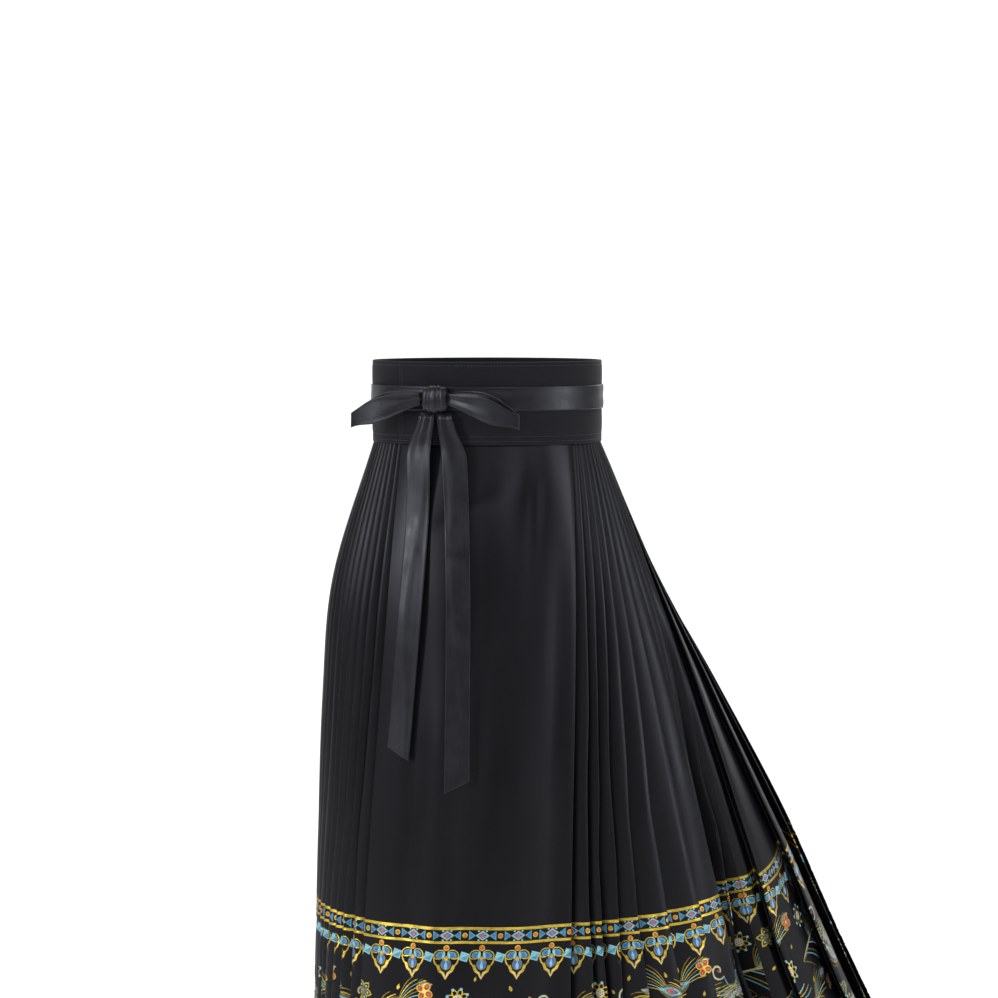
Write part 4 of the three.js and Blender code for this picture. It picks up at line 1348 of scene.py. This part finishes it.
def sewn_piece(name, forms, materials):
    """One object out of several closed forms, each with its own material number."""
    points, faces, maps, indices, so_far = [], [], [], [], 0
    for form_points, form_faces, form_maps, index in forms:
        if not turned_outward(form_points, form_faces):
            sizes = [len(face) for face in form_faces]
            form_faces = [tuple(reversed(face)) for face in form_faces]
            parts = np.split(form_maps, np.cumsum(sizes)[:-1])
            form_maps = np.concatenate([part[::-1] for part in parts])
        faces += [tuple(k + so_far for k in face) for face in form_faces]
        points.append(form_points)
        maps.append(form_maps)
        indices += [index] * len(form_faces)
        so_far += len(form_points)
    print(name, "faces:", len(faces))
    return mesh_object(name, np.concatenate(points), faces, indices, materials,
                       np.concatenate(maps))

# %% [markdown]
# A machine stitch is a short straight length of thread that dips into the cloth at both ends.
# It could be a line in the material, but a capsule 0.6 mm thick catches the light as thread
# does. A row of them follows a line of points on the band, one every 3.5 mm.

# %% Stitches: short thread capsules that dip into the cloth at both ends
STITCH_LENGTH = 2.7
STITCH_PITCH = 3.5
STITCH_RADIUS = 0.3


def spot_on(line, run, s):
    return np.array([np.interp(s, run, line[:, axis]) for axis in range(3)])


def stitches(line, normals):
    """A row of stitches along a line of points that lies on the cloth."""
    steps = np.linalg.norm(np.diff(line, axis=0), axis=1)
    run = np.concatenate([[0], np.cumsum(steps)])
    forms = []
    turns = np.arange(6) / 6 * 2 * math.pi
    for k in range(int(run[-1] / STITCH_PITCH)):
        middle = (k + 0.5) * STITCH_PITCH
        sections = []
        for share, fat in ((-1, 0.25), (-0.8, 0.8), (0, 1), (0.8, 0.8), (1, 0.25)):
            s = middle + share * STITCH_LENGTH / 2
            centre, ahead = spot_on(line, run, s), spot_on(line, run, s + 0.5)
            out = unit(spot_on(normals, run, s))
            side = unit(np.cross(out, ahead - centre + 1e-9))
            centre = centre + out * (0.16 - 0.3 * abs(share) ** 3)
            radius = STITCH_RADIUS * fat
            sections.append([centre + radius * (math.cos(a) * side + math.sin(a) * out)
                             for a in turns])
        forms.append((*swept(np.array(sections), np.arange(6) * 0.3), 1))
    return forms

# %% [markdown]
# The band goes once round the waist and laps over its own start at the front. It is one closed
# sweep, with a groove where each row of stitches pulls it in and low puffs between the rows.
# Inside, its foot stands out over the bundle of pleats that is sewn into it. A plain ring
# would be simpler, but then the lap and the seams would be lost.

# %% The waistband: a folded strip that laps over its own start at the front
BAND_WALL = 3.0
BAND_CENTRE = -0.6
BAND_SECTION = [
    (0.55, -45.0), (1.25, -44.3), (1.5, -43.0), (1.42, -42.0), (1.12, -41.0), (1.42, -40.0),
    (1.5, -37.6), (1.4, -36.6), (1.12, -35.6), (1.4, -34.6), (1.5, -30.0), (1.5, -22.0),
    (1.5, -12.0), (1.5, -6.0), (1.5, 5.0), (1.5, 16.0), (1.5, 22.0), (1.5, 30.0), (1.5, 37.5),
    (1.4, 39.4), (1.12, 40.4), (1.4, 41.4), (1.45, 43.2), (1.05, 44.6),
]
BAND_PUFFS = rows("place reach rise", [
    (-70, 26, 0.8), (18, 34, 0.6), (84, 18, 0.9), (150, 30, 0.7), (232, 40, 0.9), (318, 30, 0.6),
    (395, 36, 0.8), (470, 28, 0.9), (540, 34, 0.7), (612, 26, 0.8),
])
WAIST = SIDES["left"][0]["outline"]
BUNDLE_DEPTH = 6.6
BUNDLE_RUN_IN = 8
BUNDLE_TOP = -33
BUNDLE_FALL = 11


def band_lift(place, half):
    """From 1 to 0: how far the band's start stands in, under its own end."""
    return 1 - ease((place - half - 10) / 60) if place < WAIST["length"] / 2 else 0


def band_inward(place):
    return -BAND_CENTRE - (BAND_WALL + SEAM_GAP) * band_lift(place, FACE_WIDTH_TOP / 2)


def pleat_bundle(place, z):
    """Inside, the band's foot stands out over the pleats that are sewn into it."""
    length, back = WAIST["length"], WAIST["back"]
    half = FACE_WIDTH_TOP / 2 - BUNDLE_RUN_IN
    s = place % length
    left = ease((s - half) / BUNDLE_RUN_IN) * ease((back - half - s) / BUNDLE_RUN_IN)
    right = ease((s - back - half) / BUNDLE_RUN_IN) * ease((length - half - s) / BUNDLE_RUN_IN)
    if not 0 < place < length:
        return 0
    share = max(left * (1 - band_lift(place, half)), right)
    return BUNDLE_DEPTH * share * ease((BUNDLE_TOP - z) / BUNDLE_FALL)


def band_puff(place, z):
    """Worn cotton puffs a little between its rows of stitching, but not under the tie."""
    away = max(0, min(abs(z + 22), abs(z - 30)) - 5) / 6
    rise = sum(puff["rise"] * math.exp(-((place - puff["place"]) / puff["reach"]) ** 2)
               for puff in BAND_PUFFS)
    return rise * math.exp(-away * away)


def waistband():
    half = FACE_WIDTH_TOP / 2
    start, end = -half, WAIST["length"] + half - 3 * UNDER_FACE_EDGE_CLEARANCE
    places = np.concatenate([[start, start + 0.5, start + 1.6],
                             np.linspace(start + 5, end - 5, 172), [end - 1.6, end - 0.5, end]])
    body = np.ones(len(places))
    body[[0, 1, -2, -1]] = (0.45, 0.85, 0.85, 0.45)
    outer = [(out, z) for out, z in BAND_SECTION]
    inner = [(-out, z) for out, z in BAND_SECTION[::-1]]
    spots, normals = on_outline(WAIST, places)
    sections = np.zeros((len(places), len(outer) + len(inner), 3))
    for i, place in enumerate(places):
        for j, (out, z) in enumerate(outer + inner):
            rise = band_puff(place, z) if out > 0 else -pleat_bundle(place, z)
            reach = out * body[i] + rise - band_inward(place)
            sections[i, j, :2] = spots[i] + normals[i] * reach
            sections[i, j, 2] = z
    marks = [z for _, z in outer + inner]
    forms = [(*swept(sections, marks), 0)]
    flat_normals = np.concatenate([normals, np.zeros((len(places), 1))], axis=1)
    for row in (4, 8, 20):
        forms += stitches(sections[1:-1, row], flat_normals[1:-1])
    up_line = sections[3, 9:20]
    forms += stitches(up_line, np.repeat(flat_normals[3:4], len(up_line), axis=0))
    return sewn_piece("waistband_cotton", forms, BAND_MATERIALS), end - start


band, band_length = waistband()
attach(band, "root")
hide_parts("waistband")
print("waistband:", round(band_length), "mm long")

# %% [markdown]
# ## The bow
#
# The ties are one ribbon, 26 mm wide: a turn round the waist, a knot, two loops and two tails.
# All but the knot share one cross-section, which is carried along a path. A cloth simulation
# could tie a real bow, but it wouldn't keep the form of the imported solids.

# %% A ribbon's cross-section: two firm selvedges and a thin body between them
TIE_WIDTH = 26
TIE_RING_CENTRE_Z = 5
RIBBON_THICKNESS = 1.2
RIBBON_MARKS = np.array([-1, -0.97, -0.9, -0.84, -0.6, -0.3, 0, 0.3, 0.6, 0.84, 0.9, 0.97, 1])
RIBBON_BODY = np.array([0.4, 0.85, 1, 0.72, 0.86, 0.86, 0.86, 0.86, 0.86, 0.72, 1, 0.85, 0.4])


def ribbon_sections(middle, out, relief, thickness=RIBBON_THICKNESS):
    """Middle points, outward directions and outward relief, each steps by marks."""
    shift = (thickness / 2 * RIBBON_BODY)[None, :, None] * out
    raised = middle + relief[:, :, None] * out
    return np.concatenate([raised + shift, (raised - shift)[:, ::-1]], axis=1)


def ribbon_marks():
    across = (RIBBON_MARKS + 1) / 2 * TIE_WIDTH
    return np.concatenate([across, across[::-1]])

# %% The tie's turn round the waist, with soft lengthwise wrinkles
TIE_LIFT = BAND_CENTRE + BAND_WALL / 2 + SEAM_GAP + 0.85


def tie_out(place):
    half = FACE_WIDTH_TOP / 2
    signed = place - WAIST["length"] if place > WAIST["length"] / 2 else place
    lap = 1 - ease((signed - half - 12) / 60) if signed > 0 else 1 - ease((-signed - half - 6) / 45)
    return TIE_LIFT + (BAND_WALL + SEAM_GAP) * lap


def tie_wrap():
    count = 168
    places = np.arange(count) / count * WAIST["length"]
    spots, normals = on_outline(WAIST, places)
    turn = places / WAIST["length"] * 2 * math.pi
    middle = np.zeros((count, len(RIBBON_MARKS), 3))
    out = np.zeros_like(middle)
    for j, mark in enumerate(RIBBON_MARKS):
        reach = np.array([tie_out(place) for place in places])
        middle[:, j, :2] = spots + normals * reach[:, None]
        middle[:, j, 2] = TIE_RING_CENTRE_Z + mark * TIE_WIDTH / 2
        out[:, j, :2] = normals
    slow, quick = np.sin(3 * turn)[:, None], np.sin(7 * turn)[:, None]
    wave = np.sin(RIBBON_MARKS[None, :] * 4.2 + 1.2 * slow + 0.7 * quick)
    strength = 0.22 + 0.16 * np.sin(5 * turn + 1)
    relief = (1 + wave) * strength[:, None] * (1 - RIBBON_MARKS[None, :] ** 4)
    sections = ribbon_sections(middle, out, relief)
    forms = [(*swept(sections, ribbon_marks(), ring=True), 0)]
    return sewn_piece("tie_wrap_ribbon", forms, TIE_MATERIALS)


ring = tie_wrap()
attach(ring, "root")
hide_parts("tie_wrap")

# %% The bow: where it sits and which way is out
BOW_PLACE = -52
KNOT_SIZE = {"across": 28, "out": 14, "high": 30}
bow_spot, bow_normal = (np.append(v[0], 0) for v in on_outline(WAIST, np.array([BOW_PLACE])))
bow_along = np.array([-bow_normal[1], bow_normal[0], 0])
KNOT_OUT = tie_out(0) + 0.75 + 2 * SEAM_GAP + KNOT_SIZE["out"] / 2


def at_bow(along, out, z):
    return bow_spot + bow_along * along + bow_normal * out + np.array([0, 0, TIE_RING_CENTRE_Z + z])

# %% [markdown]
# A tight knot hides most of its ribbon. What shows is a rounded form with four slanting
# grooves between the folds, so it is modelled as that, and its ends are closed by the loops.

# %% The knot: the ribbon's own folds lie over each other and lean to one side
GROOVE_WIDTH = 0.075
KNOT_FOLDS = rows("at lean turn depth", [
    (-0.62, 0.1, 0.4, 0.16), (-0.22, -0.12, 1.6, 0.12), (0.18, 0.14, 2.4, 0.18),
    (0.58, -0.09, 0.9, 0.13),
])


def knot_groove(share, angle):
    """How much the ribbon's own folds pull the knot in at one point."""
    groove = 0
    for fold in KNOT_FOLDS:
        away = share - fold["at"] - fold["lean"] * math.sin(angle + fold["turn"])
        groove += fold["depth"] * math.exp(-(away / GROOVE_WIDTH) ** 2)
    return groove


def tie_knot():
    shares = np.concatenate([[-1, -0.98, -0.93], np.linspace(-0.86, 0.86, 31), [0.93, 0.98, 1]])
    angles = (np.arange(36) + 0.5) / 36 * 2 * math.pi
    sections = np.zeros((len(shares), len(angles), 3))
    for i, share in enumerate(shares):
        rounded = (1 - max(abs(share) - 0.86, 0) ** 2 / 0.14 ** 2 * 0.32)
        for j, angle in enumerate(angles):
            groove = knot_groove(share, angle)
            size = rounded * (1 - groove)
            thick = KNOT_SIZE["out"] / 2 * (1 - 0.3 * share * share) * size
            high = KNOT_SIZE["high"] / 2 * (1 - 0.25 * share * share) * (1 - 0.5 * groove) * rounded
            sections[i, j] = at_bow(share * KNOT_SIZE["across"] / 2,
                                    KNOT_OUT + thick * math.cos(angle), high * math.sin(angle))
    marks = np.arange(len(angles)) / len(angles) * 70
    return sewn_piece("tie_knot_ribbon", [(*swept(sections, marks), 0)], TIE_MATERIALS)


knot = tie_knot()
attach(knot, "root")
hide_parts("tie_knot")

# %% [markdown]
# A loop is narrow at the knot, where it is gathered in small folds, opens to its full width
# and turns over at its tip. It falls a little under its own weight.

# %% The loops: each is a ribbon that goes out, turns over and comes back
LOOP_LENGTH = 82
LOOP_FALL = 24
LOOP_NECK = 13
LOOP_SWELL = 14
LOOP_TIP_NARROWER = 11


def tie_loop(name, sign, twist):
    t = np.linspace(0, 1, 72)
    share = 1 - np.abs(1 - 2 * t) ** 2.1
    opened = np.array([ease(s / 0.6) for s in share])
    tip = np.array([ease((s - 0.62) / 0.38) for s in share])
    fall = LOOP_FALL * share ** 1.6
    high = LOOP_NECK + LOOP_SWELL * opened - LOOP_TIP_NARROWER * tip
    gap = 5 + 5.5 * np.sin(math.pi * 0.8 * share)
    along = sign * (KNOT_SIZE["across"] / 2 + SEAM_GAP + 0.6 + share * (LOOP_LENGTH - 1))
    layer = -np.cos(math.pi * t)
    out = KNOT_OUT + 4 * np.sin(math.pi * 0.85 * share) + layer * gap / 2
    path = np.array([at_bow(a, o, 0) for a, o in zip(along, out)])
    ahead = unit(np.gradient(path, axis=0))
    facing = unit(np.cross(ahead, np.array([0, 0, 1.0])))
    middle = np.repeat(path[:, None, :], len(RIBBON_MARKS), axis=1)
    leaning = twist * layer * share
    drop = fall + layer * 2.4 * np.sin(math.pi * share ** 0.8)
    middle[:, :, 2] += -drop[:, None] + RIBBON_MARKS[None, :] * high[:, None] / 2
    middle += bow_along * (sign * 3.2 * leaning[:, None] * RIBBON_MARKS[None, :])[:, :, None]
    gather = np.array([1 - ease(s / 0.7) for s in share])
    folds = np.cos(RIBBON_MARKS * math.pi * 1.6 + twist)
    soft = 0.9 * np.sin(share * 5 + twist * 2)[:, None] * RIBBON_MARKS[None, :]
    relief = 0.85 * gather[:, None] * folds[None, :] + soft * (1 - gather)[:, None] * 0.6
    faces_out = np.repeat(facing[:, None, :], len(RIBBON_MARKS), axis=1)
    sections = ribbon_sections(middle, faces_out, relief, 0.9)
    piece = sewn_piece(name + "_ribbon", [(*swept(sections, ribbon_marks()), 0)], TIE_MATERIALS)
    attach(piece, "root")
    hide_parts(name)


tie_loop("tie_loop_right", -1, 0.5)
tie_loop("tie_loop_left", 1, -0.8)

# %% [markdown]
# The tails hang free in front of the face. They keep a gather where the knot grips them and
# open flat as they fall. Each point takes its place from the outline at its own height, so a
# tail follows the cloth behind it at a small distance.

# %% The tails: they hang from the knot over the front face and spread as they fall
TAIL_LENGTH = 400
TAIL_CLEARANCE = 3.2
TAIL_TOP = TIE_RING_CENTRE_Z - KNOT_SIZE["high"] / 2 - SEAM_GAP


def tie_tail(name, centre, lean, length, turn):
    shares = np.concatenate([np.linspace(0, 0.985, 58), [0.99, 0.997, 1]])
    side = math.copysign(1, centre)
    middle = np.zeros((len(shares), len(RIBBON_MARKS), 3))
    out = np.zeros_like(middle)
    for i, share in enumerate(shares):
        opened = ease(share / 0.13)
        half = (0.62 + 0.38 * opened) * TIE_WIDTH / 2
        place = BOW_PLACE + centre + side * 8 * opened + lean * share * length
        for j, mark in enumerate(RIBBON_MARKS):
            z = TAIL_TOP - share * length + side * 7 * mark * ease((share - 0.8) / 0.2)
            near = 1 - ease((TAIL_TOP - z - 15) / 110)
            clear = TAIL_CLEARANCE + (KNOT_OUT - TAIL_CLEARANCE) * near
            level = outline_at(max(-BAND_HEIGHT / 2 - z, 0))
            spot, normal = on_outline(level, np.array([place + mark * half]))
            middle[i, j, :2] = spot[0] + normal[0] * clear
            middle[i, j, 2] = z
            out[i, j, :2] = normal[0]
    gather = np.array([1 - ease(share / 0.22) for share in shares])
    folds = 1.3 * gather[:, None] * np.cos(RIBBON_MARKS * math.pi * 1.5 + turn)[None, :]
    drift = 0.5 * np.sin(shares * 7 + turn)
    away = (RIBBON_MARKS[None, :] - drift[:, None]) / 0.3
    trough = 0.9 * np.exp(-away ** 2) * (1 - gather)[:, None]
    swell = 0.8 + 0.8 * np.sin(shares * 11 + 2 * turn)
    relief = folds + trough + (swell * (1 - gather))[:, None]
    sections = ribbon_sections(middle, out, relief, 1.0)
    piece = sewn_piece(name + "_ribbon", [(*swept(sections, ribbon_marks()), 0)], TIE_MATERIALS)
    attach(piece, "root")
    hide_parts(name)


tie_tail("tie_tail_right", -9, -0.035, TAIL_LENGTH - 34, 0.7)
tie_tail("tie_tail_left", 9, 0.05, TAIL_LENGTH, 2.1)

# %% [markdown]
# ## Studio
#
# A plain pale floor turns up into a backdrop. Four soft boxes light the cloth, and one more
# lamp washes the backdrop. The boxes are long and narrow, because satin shows their form: it
# turns them into long highlights down its folds. An image of a room could light it too, but
# its highlights would be less clear.

# %% Floor, backdrop and lights
FLOOR_HEIGHT = -1.0


def studio_floor():
    profile = [(-14, 0), (3.0, 0), (3.8, 0.12), (4.4, 0.5), (4.7, 1.2), (4.8, 6)]
    half = 14
    verts = [(x, y, FLOOR_HEIGHT + z) for y, z in profile for x in (-half, half)]
    faces = [(2 * k, 2 * k + 1, 2 * k + 3, 2 * k + 2) for k in range(len(profile) - 1)]
    mesh = bpy.data.meshes.new("studio_floor")
    mesh.from_pydata(verts, [], faces)
    mesh.polygons.foreach_set("use_smooth", np.ones(len(faces), bool))
    material, tree, shader = new_material("matte_paper")
    set_inputs(shader, Roughness=0.9)
    shader.inputs["Base Color"].default_value = linear("#f4f4f2")
    mesh.materials.append(material)
    floor = bpy.data.objects.new("studio_floor", mesh)
    bpy.context.scene.collection.objects.link(floor)


def soft_box(name, place, target, size, power, colour="#ffffff"):
    light = bpy.data.lights.new(name, "AREA")
    light.shape = "RECTANGLE"
    light.size, light.size_y = size
    light.energy = power
    light.color = linear(colour)[:3]
    lamp = bpy.data.objects.new(name, light)
    lamp.location = place
    lamp.rotation_euler = (Vector(target) - Vector(place)).to_track_quat("-Z", "Y").to_euler()
    bpy.context.scene.collection.objects.link(lamp)


studio_floor()
soft_box("key", (-2.6, -2.0, 0.9), (0.1, 0, -0.5), (0.6, 1.8), 60, "#eef1ff")
soft_box("fill", (3.0, -1.4, 0.3), (0.2, 0, -0.5), (0.5, 2.0), 40, "#eef1ff")
soft_box("front", (0.9, -3.6, 1.6), (0.1, 0, -0.5), (0.5, 0.5), 24, "#eef1ff")
soft_box("rim", (1.6, 2.6, 1.8), (0.2, 0.2, -0.4), (1.6, 1.2), 30)
soft_box("backdrop_wash", (0, 1.2, 3.6), (0, 4.2, -0.4), (6.0, 2.0), 210)
world = bpy.data.worlds.new("pale_room")
world.use_nodes = True
world.node_tree.nodes["Background"].inputs["Color"].default_value = linear("#f6f7fa")
world.node_tree.nodes["Background"].inputs["Strength"].default_value = 0.3
bpy.context.scene.world = world
bpy.context.scene.view_settings.view_transform = "Standard"
print("lights:", [light.name for light in bpy.data.lights])
